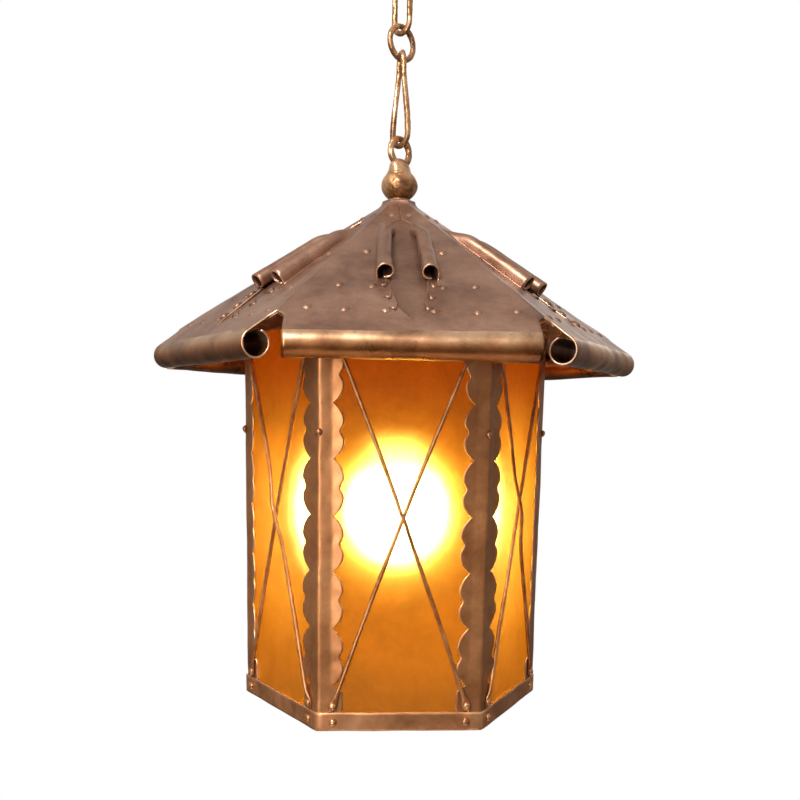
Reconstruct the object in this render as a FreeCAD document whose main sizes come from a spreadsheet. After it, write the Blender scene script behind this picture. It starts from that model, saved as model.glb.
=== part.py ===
import FreeCAD, Part
import math
import os
import re

import Sketcher

# A six-sided hanging lantern, in millimetres, +Z up. The origin is the inner top of the upper
# chain link, which is where the lantern hangs, so everything but that link's crown is below zero.
# The body's corners lie on the azimuths 0, 60, 120 ... degrees, its faces on 30, 90, 150 ...

DOC = FreeCAD.newDocument("HangingLantern")
SIZES = DOC.addObject("Spreadsheet::Sheet", "Sizes")
SIDES = 6
CORNER_TURN = 360 / SIDES
FACE_TURN = CORNER_TURN / 2

DRIVING = [
    # chain
    ("wire_dia", 4.5, "round bar of the three chain links"),
    ("chain_gap", 0.5, "slack between two links that hang in each other"),
    ("link_span", 72.5, "long link: crown bar centre to heel bar centre"),
    ("link_width", 16.6, "long link: leg centre to leg centre"),
    ("ring_span", 25.5, "round link: diameter of its bar's centre line"),
    ("top_link_yaw", -50, "azimuth of the upper link's plane, degrees"),
    ("ring_yaw", 42, "azimuth of the round link's plane, degrees"),
    ("lower_link_yaw", 98, "azimuth of the lower link's crown, degrees"),
    ("lower_link_twist", 32, "twist from its crown to its heel, degrees"),
    ("eye_yaw", 42, "azimuth of the finial eye's plane, degrees"),
    # finial
    ("eye_bar", 5, "bar of the forged eye"),
    ("eye_span", 20, "diameter of the eye's centre line"),
    ("eye_neck", 4, "ball top to the centre of the eye's lowest bar"),
    ("eye_collar", 11, "diameter of the neck where it stands on the ball"),
    ("stem_dia", 6, "tenon of the eye, screwed into the ball"),
    ("stem_length", 8, "tenon length below the ball's top"),
    ("ball_dia", 28, "flattened ball, across"),
    ("ball_height", 25, "flattened ball, before its foot is filed flat"),
    ("ball_foot", 1.5, "height filed off the ball's underside"),
    ("ball_nest", 0.5, "how far the ball reaches down into the roof's neck"),
    # roof
    ("roof_slope", 36.84, "slope of the roof, degrees"),
    ("roof_sheet", 1.2, "roof panel sheet"),
    ("neck_apothem", 11, "outside of the turned-up neck, axis to flat"),
    ("neck_height", 3.2, "height of the turned-up neck"),
    ("eave_apothem", 155.5, "axis of the rolled eave, from the lantern's axis"),
    ("eave_dia", 19, "outside of the rolled eave"),
    ("eave_roll", 300, "turn of the rolled eave, degrees"),
    ("eave_cut", 10.93, "ridge line at the eave axis to the end of the rolled eave"),
    ("hip_setback", 11.7, "eave axis to the end of the hip, along the apothem"),
    ("liner_sheet", 0.8, "under-sheet of the roof"),
    ("liner_setback", 5.5, "eave axis to the liner's edge, along the apothem"),
    ("liner_inset", 1, "liner's edge behind the panel's cut corner"),
    ("slit_half", 8, "half width of the opening at the curls' upper ends"),
    ("waist_half", 9, "half width of the opening at the curls' open ends"),
    ("vee_half", 13.5, "half width of the opening just below the curls"),
    ("vee_low_half", 7.5, "half width of the opening where its sides turn in"),
    ("slit_tip_half", 0.3, "half width of the opening at its two tips"),
    ("curl_dia", 12, "outside of a curl at its open end"),
    ("curl_top_dia", 9.6, "outside of a curl at its upper end"),
    ("curl_roll", 315, "turn of a curl, degrees"),
    ("curl_seat", 0.4, "how far a curl's bend reaches into the panel"),
    ("stud_dia", 4, "punched stud, across"),
    ("stud_rise", 1, "punched stud, height"),
    # body
    ("ridge_radius", 109, "corner ridge to the axis, at the rim"),
    ("ridge_flare", 8.26, "how much further out the ridge is at the top"),
    ("body_height", 282, "height of the body"),
    ("vent_gap", 19.4, "height between the body's top and the roof liner"),
    ("angle_sheet", 1.2, "sheet of the corner angles"),
    ("wing_width", 16.8, "corner angle: ridge to edge at foot and head"),
    ("lobe_width", 17.8, "corner angle: ridge to the crown of a lobe"),
    ("notch_width", 10.3, "corner angle: ridge to a deep notch"),
    ("dip_width", 14.6, "corner angle: ridge to the dip inside a double lobe"),
    ("foot_height", 30, "plain foot of the corner angle"),
    ("head_height", 27, "plain head of the corner angle"),
    ("band_sheet", 1.2, "sheet of the two bands"),
    ("band_height", 12, "height of the two bands"),
    ("ledge_sheet", 1.2, "sheet of the inner ledge"),
    ("ledge_height", 8, "inner ledge, rim to the seat of the panes"),
    ("ledge_width", 9.2, "inner ledge, width of its shelf"),
    ("lay_gap", 0.1, "gap between pieces that lie on each other"),
    ("mica_sheet", 1.5, "thickness of a pane"),
    ("mica_edge", 2, "ridge plane to the pane's edge"),
    ("mica_top", 10, "body's top down to the pane's top"),
    ("rod_dia", 2.8, "crossed rods"),
    ("rod_eye_dia", 6.4, "flattened end of a rod"),
    ("rod_eye_sheet", 1.2, "thickness of a rod's flattened end"),
    ("rod_foot_height", 16.4, "rim to the rods' lower rivets"),
    ("rod_foot_inset", 10.1, "ridge to the rods' lower rivets"),
    ("rod_head_drop", 20, "body's top down to the rods' upper rivets"),
    ("rod_head_inset", 11, "ridge to the rods' upper rivets"),
    ("rod_gap", 0.4, "gap between two rods where they cross"),
    ("rivet_head_dia", 5.4, "rivet heads"),
    ("rivet_head_rise", 2.2, "height of a rivet head"),
    ("rivet_dia", 3, "rivet shanks"),
    ("band_rivet_inset", 10.3, "ridge to the rivets of the bands"),
    ("ridge_rivet_height", 198, "rim to the rivet on each ridge"),
    ("hole_gap", 0.1, "radial gap of a shank, stem or pipe in its hole"),
    ("overrun", 1, "how far a cutting tool reaches beyond what it cuts"),
    # lamp
    ("pipe_dia", 9.7, "threaded lamp pipe"),
    ("pipe_bore", 6.5, "bore of the lamp pipe"),
    ("pipe_reach", 12, "how far the pipe reaches up into the ball"),
    ("pipe_thread", 5, "how far the pipe reaches into the socket cap"),
    ("washer_dia", 17, "spacer between the roof and the ball"),
    ("nut_dia", 18, "hexagon nuts, across corners"),
    ("nut_height", 5, "hexagon nuts"),
    ("bar_width", 14, "strap across the body"),
    ("bar_sheet", 3, "thickness of the strap"),
    ("bar_lug", 7.5, "height of the strap's turned-up ends"),
    ("socket_drop", 17, "bare pipe between the strap's lower nut and the socket cap"),
    ("socket_dia", 33, "outside of the socket shell"),
    ("socket_wall", 0.6, "wall of the socket shell and cap"),
    ("socket_height", 48, "length of the socket shell"),
    ("cap_height", 13, "height of the domed socket cap"),
    ("cap_rim", 4.3, "height of the socket cap's straight rim"),
    ("cap_hub", 4, "thickness of the cap's hub round the pipe"),
    ("cap_hub_height", 2.6, "height of the hub above the cap's dome"),
    ("sleeve_wall", 0.8, "insulating sleeve in the socket shell"),
    ("sleeve_setback", 1, "sleeve's ends behind the shell's mouth and the core"),
    ("core_height", 14, "porcelain core of the socket"),
    ("screw_shell_wall", 0.4, "wall of the socket's screw shell"),
    ("screw_shell_height", 30, "length of the socket's screw shell"),
    ("terminal_dia", 5, "heads of the terminal screws"),
    ("bulb_base_dia", 26.2, "screw base of the bulb"),
    ("bulb_base_height", 25, "length of the bulb's base"),
    ("bulb_tip_dia", 11, "contact at the end of the bulb's base"),
    ("bulb_tip_height", 3, "height of that contact"),
    ("bulb_dia", 60, "globe of the bulb"),
    ("bulb_length", 86, "glass of the bulb: lowest point to the base"),
    ("bulb_shoulder_dia", 54.6, "bulb: where the cone of its shoulder leaves the globe"),
    ("bulb_shoulder_rise", 12, "height of that place above the globe's centre"),
    ("bulb_throat", 8, "straight glass above the bulb's base"),
    ("bulb_wall", 0.8, "glass thickness"),
    ("bulb_gap", 0.3, "gap between the bulb and the socket"),
    ("stem_height", 50, "glass mount inside the bulb"),
    ("stem_disc", 15, "disc of the glass mount that the filament hangs on"),
    ("stem_neck", 5, "rod of the glass mount"),
    ("stem_flare", 3.75, "height of the mount's flare above its disc"),
    ("filament_inset", 1, "disc's edge to the filament's centre line"),
]

DERIVED = [
    ("hex_cos", "=sqrt(3) / 2"),
    ("hex_tan", "=1 / sqrt(3)"),
    ("slope_tan", "=tan(roof_slope)"),
    ("slope_cos", "=cos(roof_slope)"),
    # levels of the chain, from the hanging point down
    ("top_link_high", "=wire_dia / 2"),
    ("top_link_low", "=top_link_high - link_span"),
    ("ring_high", "=top_link_low + wire_dia + chain_gap"),
    ("ring_low", "=ring_high - ring_span"),
    ("lower_link_high", "=ring_low + wire_dia + chain_gap"),
    ("lower_link_low", "=lower_link_high - link_span"),
    ("eye_high", "=lower_link_low + wire_dia / 2 + eye_bar / 2 + chain_gap"),
    ("eye_centre", "=eye_high - eye_span / 2"),
    # finial
    ("ball_top", "=eye_centre - eye_span / 2 - eye_neck"),
    ("ball_centre", "=ball_top - ball_height / 2"),
    ("ball_low", "=ball_top - ball_height"),
    ("ball_seat", "=ball_low + ball_foot"),
    # roof; its peak is where the outer planes of the panels would meet on the axis
    ("neck_top", "=ball_low + ball_nest"),
    ("neck_bend", "=neck_top - neck_height"),
    ("roof_peak", "=neck_bend + slope_tan * neck_apothem"),
    ("liner_peak", "=roof_peak - roof_sheet / slope_cos"),
    ("liner_under", "=liner_peak - liner_sheet / slope_cos"),
    ("liner_top", "=liner_peak - slope_tan * neck_apothem"),
    ("liner_apothem", "=eave_apothem - liner_setback"),
    ("eave_length", "=2 * (eave_apothem * hex_tan - eave_cut)"),
    ("eave_level", "=roof_peak - slope_tan * eave_apothem - eave_dia / 2 / slope_cos"),
    # body
    ("head_radius", "=ridge_radius + ridge_flare"),
    ("body_top", "=liner_under - slope_tan * (head_radius * hex_cos + band_sheet) - vent_gap"),
    ("rim_level", "=body_top - body_height"),
    ("pane_depth", "=angle_sheet + lay_gap"),
    # lamp
    ("bar_under", "=body_top - bar_lug"),
    ("socket_top", "=bar_under - nut_height - socket_drop"),
    ("cap_low", "=socket_top - cap_height"),
    ("socket_low", "=cap_low - socket_height"),
    ("core_top", "=cap_low - socket_wall"),
    ("core_low", "=core_top - core_height"),
    ("screw_shell_radius", "=bulb_base_dia / 2 + bulb_gap"),
    ("contact_sheet", "=screw_shell_wall * 2"),
    ("bulb_tip_top", "=core_low - contact_sheet - bulb_gap"),
    ("bulb_base_top", "=bulb_tip_top - bulb_tip_height"),
    ("bulb_neck", "=bulb_base_top - bulb_base_height"),
    ("bulb_centre", "=bulb_neck - bulb_length + bulb_dia / 2"),
]

# The opening and the curls of a roof panel, as shares of the eave's apothem
SLIT_TIP_SHARE = 0.082
SLIT_SHARE = 0.32
CURL_TOP_SHARE = 0.31
CURL_END_SHARE = 0.695
VEE_TURN_SHARE = 0.888
VEE_LOW_SHARE = 0.952
# Where a curl leaves the sheet, as an angle round its own axis
CURL_START_TURN = -90
# Rows of punched studs: share of the eave's apothem, then shares of the half width there
STUD_ROWS = [
    (0.907, (0.187, 0.51, 0.81)),
    (0.740, (0.357, 0.693)),
    (0.502, (0.582,)),
    (0.180, (0.43,)),
]
# The scalloped edge of a corner angle: double lobes, and in each the places of the two crowns and
# the slant of the notch beside the plain foot and head, as shares of its height
LOBE_PAIRS = 6
LOWER_CROWN_SHARE = 0.28
UPPER_CROWN_SHARE = 0.72
NOTCH_SLANT_SHARE = 0.125
# Points along a leg of the twisted link
LEG_STEPS = 6

FAULTY_STATES = ("Invalid", "Error")
NODES = []


def fill_sheet():
    """Write the driving sizes and what follows from them into the spreadsheet."""
    for row, (alias, value, meaning) in enumerate(DRIVING, start=1):
        SIZES.set(f"A{row}", meaning)
        SIZES.set(f"B{row}", str(value))
        SIZES.setAlias(f"B{row}", alias)
    for row, (alias, formula) in enumerate(DERIVED, start=len(DRIVING) + 2):
        SIZES.set(f"A{row}", alias.replace("_", " "))
        SIZES.set(f"B{row}", formula)
        SIZES.setAlias(f"B{row}", alias)
    DOC.recompute()


fill_sheet()
ALIASES = {row[0] for row in DRIVING} | {row[0] for row in DERIVED}


def size(alias):
    """A value of the sheet, for shapes made with Part's own functions."""
    return float(SIZES.get(alias))


def formula(text):
    """An expression with each alias addressed through the sheet."""
    return re.sub(r"[a-z]\w*", lambda word: f"Sizes.{word[0]}" if word[0] in ALIASES else word[0], text)


def number(text):
    return float(SIZES.evalExpression(text))


def bind(target, **properties):
    """Bind properties, such as Radius or Placement.Base.z as Placement_Base_z, to the sheet."""
    for name, text in properties.items():
        target.setExpression(name.replace("_", "."), formula(text))


def add(kind, label, **properties):
    item = DOC.addObject(kind, label)
    item.Label = label
    bind(item, **properties)
    return item


def node(item):
    """Mark an object as a finished sub-part, which is written to a file of its own."""
    NODES.append(item)
    return item


def turned_about_z(degrees):
    return FreeCAD.Rotation(FreeCAD.Vector(0, 0, 1), degrees)


# ---------------------------------------------------------------- PartDesign helpers


def new_body(label, level="0"):
    body = DOC.addObject("PartDesign::Body", label)
    body.Label = label
    bind(body, Placement_Base_z=level)
    return body


def new_sketch(body, plane_role):
    sketch = body.newObject("Sketcher::SketchObject", body.Name + "_" + plane_role)
    plane = next(item for item in body.Origin.OriginFeatures if item.Role == plane_role)
    sketch.AttachmentSupport = [(plane, "")]
    sketch.MapMode = "FlatFace"
    return sketch


def set_vertex(sketch, line, x_text, y_text):
    """Hold the start of a line at a place that the sheet gives."""
    for axis, text in (("X", x_text), ("Y", y_text)):
        constraint = Sketcher.Constraint("Distance" + axis, -1, 1, line, 1, number(text))
        index = sketch.addConstraint(constraint)
        name = f"{axis.lower()}_{line}"
        sketch.renameConstraint(index, name)
        sketch.setExpression("Constraints." + name, formula(text))


def polygon(sketch, corners):
    """A closed outline through corners whose coordinates are expressions."""
    places = [FreeCAD.Vector(number(x), number(y), 0) for x, y in corners]
    count = len(corners)
    for index in range(count):
        sketch.addGeometry(Part.LineSegment(places[index], places[(index + 1) % count]))
    for index in range(count):
        sketch.addConstraint(Sketcher.Constraint("Coincident", index, 2, (index + 1) % count, 1))
    for index, (x_text, y_text) in enumerate(corners):
        set_vertex(sketch, index, x_text, y_text)


def turned(label, level, corners):
    """A turned piece: an outline of radius and height, revolved about the vertical axis."""
    body = new_body(label, level)
    sketch = new_sketch(body, "XZ_Plane")
    polygon(sketch, corners)
    spin = body.newObject("PartDesign::Revolution", label + "_spin")
    spin.Profile = sketch
    spin.ReferenceAxis = (sketch, ["V_Axis"])
    spin.Angle = 360
    return node(body)


# ---------------------------------------------------------------- chain


def link_path(sketch):
    """The centre line of a long link: two legs and two half circles."""
    half = number("link_width / 2")
    rise = number("(link_span - link_width) / 2")
    legs = [
        Part.LineSegment(
            FreeCAD.Vector(side * half, -side * rise, 0), FreeCAD.Vector(side * half, side * rise, 0)
        )
        for side in (1, -1)
    ]
    upright_axis = FreeCAD.Vector(0, 0, 1)
    crown_circle = Part.Circle(FreeCAD.Vector(0, rise, 0), upright_axis, half)
    heel_circle = Part.Circle(FreeCAD.Vector(0, -rise, 0), upright_axis, half)
    crown = Part.ArcOfCircle(crown_circle, 0, math.pi)
    heel = Part.ArcOfCircle(heel_circle, math.pi, 2 * math.pi)
    sketch.addGeometry([legs[0], crown, legs[1], heel])
    for first, second in ((0, 1), (1, 2), (2, 3), (3, 0)):
        sketch.addConstraint(Sketcher.Constraint("Tangent", first, 2, second, 1))
    sketch.addConstraint(Sketcher.Constraint("PointOnObject", 1, 3, -2))
    sketch.addConstraint(Sketcher.Constraint("PointOnObject", 3, 3, -2))
    sketch.addConstraint(Sketcher.Constraint("Vertical", 0))
    for name, kind, arguments, text in (
        ("rise", "DistanceY", (-1, 1, 1, 3), "(link_span - link_width) / 2"),
        ("fall", "DistanceY", (3, 3, -1, 1), "(link_span - link_width) / 2"),
        ("bend", "Radius", (1,), "link_width / 2"),
    ):
        index = sketch.addConstraint(Sketcher.Constraint(kind, *arguments, number(text)))
        sketch.renameConstraint(index, name)
        sketch.setExpression("Constraints." + name, formula(text))


def make_top_link():
    body = new_body("top_link", "(top_link_high + top_link_low) / 2")
    path = new_sketch(body, "XZ_Plane")
    link_path(path)
    section = new_sketch(body, "XY_Plane")
    centre = FreeCAD.Vector(number("link_width / 2"), 0, 0)
    section.addGeometry(Part.Circle(centre, FreeCAD.Vector(0, 0, 1), number("wire_dia / 2")))
    section.addConstraint(Sketcher.Constraint("PointOnObject", 0, 3, -1))
    for name, kind, arguments, text in (
        ("offset", "DistanceX", (-1, 1, 0, 3), "link_width / 2"),
        ("bar_size", "Diameter", (0,), "wire_dia"),
    ):
        index = section.addConstraint(Sketcher.Constraint(kind, *arguments, number(text)))
        section.renameConstraint(index, name)
        section.setExpression("Constraints." + name, formula(text))
    DOC.recompute()
    pipe = body.newObject("PartDesign::AdditivePipe", "top_link_bar")
    pipe.Profile = section
    pipe.Spine = (path, ["Edge1", "Edge2", "Edge3", "Edge4"])
    body.Placement.Rotation = turned_about_z(size("top_link_yaw"))
    bind(body, Placement_Base_z="(top_link_high + top_link_low) / 2")
    return node(body)


def make_ring_link():
    ring = add(
        "Part::Torus", "ring_link", Radius1="ring_span / 2", Radius2="wire_dia / 2",
        Placement_Base_z="(ring_high + ring_low) / 2",
    )
    ring.Placement.Rotation = FreeCAD.Rotation(size("ring_yaw"), 0, 90)
    return node(ring)


def twisted_point(side, height, rise):
    """A point on a leg of the twisted link; the twist starts and ends gently."""
    share = (rise - height) / (2 * rise)
    eased = share * share * (3 - 2 * share)
    angle = math.radians(size("lower_link_yaw") + size("lower_link_twist") * eased)
    reach = side * size("link_width") / 2
    return FreeCAD.Vector(reach * math.cos(angle), reach * math.sin(angle), height)


def round_bar(edges, start, radius):
    """A round bar along joined edges; start is the end of the first edge where the bar begins."""
    spine = Part.Wire(edges)
    first = spine.OrderedEdges[0]
    along = first.tangentAt(first.FirstParameter)
    section = Part.Wire(Part.makeCircle(radius, start, along))
    return spine.makePipeShell([section], True, False)


def make_lower_link():
    """A long link whose heel is twisted against its crown."""
    rise = (size("link_span") - size("link_width")) / 2
    reach = size("link_width") / 2
    steps = [rise * (1 - 2 * index / LEG_STEPS) for index in range(LEG_STEPS + 1)]
    legs = []
    for side in (1, -1):
        leg = Part.BSplineCurve()
        leg.interpolate(
            Points=[twisted_point(side, height, rise) for height in steps],
            InitialTangent=FreeCAD.Vector(0, 0, -1),
            FinalTangent=FreeCAD.Vector(0, 0, -1),
        )
        legs.append(leg.toShape())
    crown = Part.Arc(
        twisted_point(-1, rise, rise), FreeCAD.Vector(0, 0, rise + reach), twisted_point(1, rise, rise)
    ).toShape()
    bottom = FreeCAD.Vector(0, 0, -rise - reach)
    heel = Part.Arc(twisted_point(1, -rise, rise), bottom, twisted_point(-1, -rise, rise)).toShape()
    halves = [
        round_bar([crown, legs[0]], twisted_point(-1, rise, rise), size("wire_dia") / 2),
        round_bar([heel, legs[1].reversed()], twisted_point(1, -rise, rise), size("wire_dia") / 2),
    ]
    link = add("Part::Feature", "lower_link")
    link.Shape = halves[0].fuse(halves[1]).removeSplitter()
    link.Placement.Base.z = (size("lower_link_high") + size("lower_link_low")) / 2
    return node(link)


# ---------------------------------------------------------------- finial


def make_finial_eye():
    ring = add(
        "Part::Torus", "eye_ring", Radius1="eye_span / 2", Radius2="eye_bar / 2",
        Placement_Base_z="eye_centre",
    )
    ring.Placement.Rotation = FreeCAD.Rotation(size("eye_yaw"), 0, 90)
    neck = add(
        "Part::Cone", "eye_neck_cone", Radius1="eye_collar / 2", Radius2="eye_bar / 2",
        Height="eye_neck - lay_gap", Placement_Base_z="ball_top + lay_gap",
    )
    stem = add(
        "Part::Cylinder", "eye_stem", Radius="stem_dia / 2", Height="stem_length + eye_neck / 2",
        Placement_Base_z="ball_top - stem_length",
    )
    eye = add("Part::MultiFuse", "finial_eye")
    eye.Shapes = [ring, neck, stem]
    return node(eye)


def make_finial_ball():
    ball = add(
        "Part::Ellipsoid", "ball_blank", Radius1="ball_height / 2", Radius2="ball_dia / 2",
        Radius3="ball_dia / 2", Placement_Base_z="ball_centre",
    )
    foot = add(
        "Part::Cylinder", "ball_foot_cut", Radius="ball_dia / 2", Height="ball_foot + overrun",
        Placement_Base_z="ball_low - overrun",
    )
    pipe_hole = add(
        "Part::Cylinder", "ball_pipe_hole", Radius="pipe_dia / 2 + hole_gap",
        Height="pipe_reach + hole_gap", Placement_Base_z="ball_seat",
    )
    stem_hole = add(
        "Part::Cylinder", "ball_stem_hole", Radius="stem_dia / 2 + hole_gap",
        Height="stem_length + hole_gap + overrun", Placement_Base_z="ball_top - stem_length - hole_gap",
    )
    cutters = add("Part::MultiFuse", "ball_cutters")
    cutters.Shapes = [foot, pipe_hole, stem_hole]
    finished = add("Part::Cut", "finial_ball")
    finished.Base = ball
    finished.Tool = cutters
    return node(finished)


# ---------------------------------------------------------------- roof


def roof_plan(front, inset):
    """The plan of one face of the roof: a sector with its outer corners cut back.

    front is the apothem of its outer edge, where the outline stays open beyond the sheet.
    """
    inner = size("neck_apothem") / 2
    inner_half = inner * size("hex_tan")
    hip_end = size("eave_apothem") - size("hip_setback") - inset
    hip_half = hip_end * size("hex_tan")
    end_half = size("eave_length") / 2 - inset
    cut_end = hip_end + (hip_half - end_half)
    outline = [(inner, inner_half), (hip_end, hip_half), (cut_end, end_half), (front, end_half)]
    corners = [FreeCAD.Vector(x, y, 0) for x, y in outline]
    corners += [FreeCAD.Vector(x, -y, 0) for x, y in reversed(outline)]
    return Part.makePolygon(corners + corners[:1])


def upright(wire, low, high):
    """A prism over a flat outline, from one level to another."""
    base = Part.Face(wire)
    base.translate(FreeCAD.Vector(0, 0, low))
    return base.extrude(FreeCAD.Vector(0, 0, high - low))


def roof_level(apothem):
    return size("roof_peak") - size("slope_tan") * apothem


def roof_normal():
    slope = math.radians(size("roof_slope"))
    return FreeCAD.Vector(math.sin(slope), 0, math.cos(slope))


def panel_section():
    """The sheet of a panel in section: turned-up neck, slope and rolled eave."""
    sheet = size("roof_sheet")
    radius = size("eave_dia") / 2
    centre = FreeCAD.Vector(size("eave_apothem"), 0, size("eave_level"))
    normal = roof_normal()
    start = math.atan2(normal.z, normal.x)
    turn = math.radians(size("eave_roll"))

    def on_roll(reach, angle):
        return centre + FreeCAD.Vector(reach * math.cos(angle), 0, reach * math.sin(angle))

    neck = size("neck_apothem")
    neck_in = neck - sheet
    under_bend = roof_level(neck_in) - sheet / size("slope_cos")
    outer = [
        FreeCAD.Vector(neck, 0, size("neck_top")),
        FreeCAD.Vector(neck, 0, size("neck_bend")),
        on_roll(radius, start),
    ]
    inner = [
        on_roll(radius - sheet, start),
        FreeCAD.Vector(neck_in, 0, under_bend),
        FreeCAD.Vector(neck_in, 0, size("neck_top")),
    ]
    outer_roll = Part.Arc(outer[-1], on_roll(radius, start - turn / 2), on_roll(radius, start - turn))
    inner_roll = Part.Arc(
        on_roll(radius - sheet, start - turn), on_roll(radius - sheet, start - turn / 2), inner[0]
    )
    edges = [
        Part.makeLine(outer[0], outer[1]),
        Part.makeLine(outer[1], outer[2]),
        outer_roll.toShape(),
        Part.makeLine(on_roll(radius, start - turn), on_roll(radius - sheet, start - turn)),
        inner_roll.toShape(),
        Part.makeLine(inner[0], inner[1]),
        Part.makeLine(inner[1], inner[2]),
        Part.makeLine(inner[2], outer[0]),
    ]
    return Part.Face(Part.Wire(edges))


def kite_cutter():
    """The slit and the vee between and below the curls, as a prism across the sheet."""
    eave = size("eave_apothem")
    half = [
        (SLIT_TIP_SHARE * eave, size("slit_tip_half")),
        (SLIT_SHARE * eave, size("slit_half")),
        (CURL_END_SHARE * eave, size("waist_half")),
        (CURL_END_SHARE * eave, size("vee_half")),
        (VEE_TURN_SHARE * eave, size("vee_low_half")),
        (VEE_LOW_SHARE * eave, size("slit_tip_half")),
    ]
    corners = [FreeCAD.Vector(x, y, 0) for x, y in half]
    corners += [FreeCAD.Vector(x, -y, 0) for x, y in reversed(half)]
    return upright(Part.makePolygon(corners + corners[:1]), size("eave_level"), size("roof_peak"))


def curl_band(share, offset, diameter, side):
    """The cut edge of a curl: part of a ring that stands on the roof, at right angles to its slope."""
    normal = roof_normal()
    across = FreeCAD.Vector(0, side, 0)
    apothem = share * size("eave_apothem")
    outer = diameter / 2
    inner = outer - size("roof_sheet")
    foot = FreeCAD.Vector(apothem, side * offset, roof_level(apothem))
    centre = foot + normal * (outer - size("curl_seat"))
    # the roll leaves the sheet at its outer side and turns over towards the slit
    start = math.radians(CURL_START_TURN)
    turn = math.radians(size("curl_roll"))

    def rim(reach, angle):
        return centre + across * (reach * math.cos(angle)) + normal * (reach * math.sin(angle))

    edges = [
        Part.Arc(rim(outer, start), rim(outer, start + turn / 2), rim(outer, start + turn)).toShape(),
        Part.makeLine(rim(outer, start + turn), rim(inner, start + turn)),
        Part.Arc(rim(inner, start + turn), rim(inner, start + turn / 2), rim(inner, start)).toShape(),
        Part.makeLine(rim(inner, start), rim(outer, start)),
    ]
    return Part.Wire(edges)


def curl(side):
    """A conical curl, with its foot bent out of the sheet."""
    top_offset = size("slit_half") + size("curl_top_dia") / 2
    end_offset = size("waist_half") + size("curl_dia") / 2
    sections = [
        curl_band(CURL_TOP_SHARE, top_offset, size("curl_top_dia"), side),
        curl_band(CURL_END_SHARE, end_offset, size("curl_dia"), side),
    ]
    return Part.makeLoft(sections, True, True)


def stud(apothem, offset):
    """A low dome punched up out of the sheet."""
    reach = size("stud_dia") / 2
    rise = size("stud_rise")
    radius = (reach * reach + rise * rise) / (2 * rise)
    normal = roof_normal()
    sink = size("roof_sheet") / 4
    depth = radius - rise
    centre = FreeCAD.Vector(apothem, offset, roof_level(apothem)) - normal * depth
    low = math.degrees(math.asin((depth - sink) / radius))
    return Part.makeSphere(radius, centre, normal, low, 90, 360)


def panel_shape():
    width = size("eave_apothem") * 2
    section = panel_section()
    section.translate(FreeCAD.Vector(0, -width / 2, 0))
    blank = section.extrude(FreeCAD.Vector(0, width, 0))
    front = size("eave_apothem") + size("eave_dia")
    plan = upright(roof_plan(front, 0), size("eave_level") - size("eave_dia"), size("ball_top"))
    sheet = blank.common(plan).cut(kite_cutter())
    details = [curl(side) for side in (1, -1)]
    for share, offsets in STUD_ROWS:
        apothem = share * size("eave_apothem")
        half = apothem * math.tan(math.radians(FACE_TURN))
        for offset in offsets:
            details += [stud(apothem, side * offset * half) for side in (1, -1)]
    return sheet.fuse(details)


def make_roof_panels():
    shape = panel_shape()
    for index in range(SIDES):
        panel = add("Part::Feature", f"roof_panel_{index + 1}")
        panel.Shape = shape
        panel.Placement.Rotation = turned_about_z(face_azimuth(index))
        node(panel)


def roof_pyramid(peak, low_apothem, top_apothem):
    """A six-sided frustum under a plane of the roof."""
    rings = []
    for apothem in (low_apothem, top_apothem):
        radius = apothem / size("hex_cos")
        level = peak - size("slope_tan") * apothem
        angles = [math.radians(CORNER_TURN * step) for step in range(SIDES)]
        corners = [
            FreeCAD.Vector(radius * math.cos(turn), radius * math.sin(turn), level) for turn in angles
        ]
        rings.append(Part.makePolygon(corners + corners[:1]))
    return Part.makeLoft(rings, True, True)


def make_roof_liner():
    """Six plain under-sheets, one to a face, that meet under the ridges and round the pipe."""
    edge = size("liner_apothem")
    top = size("neck_apothem")
    cos = size("slope_cos")
    under_top = top - size("liner_sheet") * (1 - cos) / cos / size("slope_tan")
    beyond = edge + size("liner_sheet") / size("slope_tan")
    outer = roof_pyramid(size("liner_peak"), edge, top)
    inner = roof_pyramid(size("liner_under"), beyond, under_top)
    low = size("eave_level") - size("eave_dia")
    high = size("ball_top")
    reach = size("pipe_dia") / 2 + size("hole_gap")
    hole = Part.makeCylinder(reach, high - low, FreeCAD.Vector(0, 0, low))
    skin = outer.cut(inner).cut(hole)
    plan = upright(roof_plan(beyond + size("overrun"), size("liner_inset")), low, high)
    sheets = []
    for index in range(SIDES):
        sector = plan.copy()
        sector.rotate(FreeCAD.Vector(0, 0, 0), FreeCAD.Vector(0, 0, 1), face_azimuth(index))
        sheets += skin.common(sector).removeSplitter().Solids
    liner = add("Part::Feature", "roof_liner")
    liner.Shape = Part.makeCompound(sheets)
    return node(liner)


# ---------------------------------------------------------------- body


def face_azimuth(index):
    return FACE_TURN + CORNER_TURN * index


def ridge_radius_at(height):
    return size("ridge_radius") + size("ridge_flare") * height / size("body_height")


def face_tilt():
    return math.atan(size("ridge_flare") * size("hex_cos") / size("body_height"))


def face_axes(azimuth):
    """Along the face, up its slope and out of it."""
    turn = math.radians(azimuth)
    tilt = face_tilt()
    level = math.cos(tilt)
    along = FreeCAD.Vector(-math.sin(turn), math.cos(turn), 0)
    out = FreeCAD.Vector(math.cos(turn) * level, math.sin(turn) * level, -math.sin(tilt))
    return along, out.cross(along), out


def face_point(azimuth, along, height, out=0.0):
    """A point by its offset along a face, its height above the rim and its distance off the face."""
    turn = math.radians(azimuth)
    tangent, _, normal = face_axes(azimuth)
    apothem = ridge_radius_at(height) * size("hex_cos")
    foot = FreeCAD.Vector(apothem * math.cos(turn), apothem * math.sin(turn), size("rim_level") + height)
    return foot + tangent * along + normal * out


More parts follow.
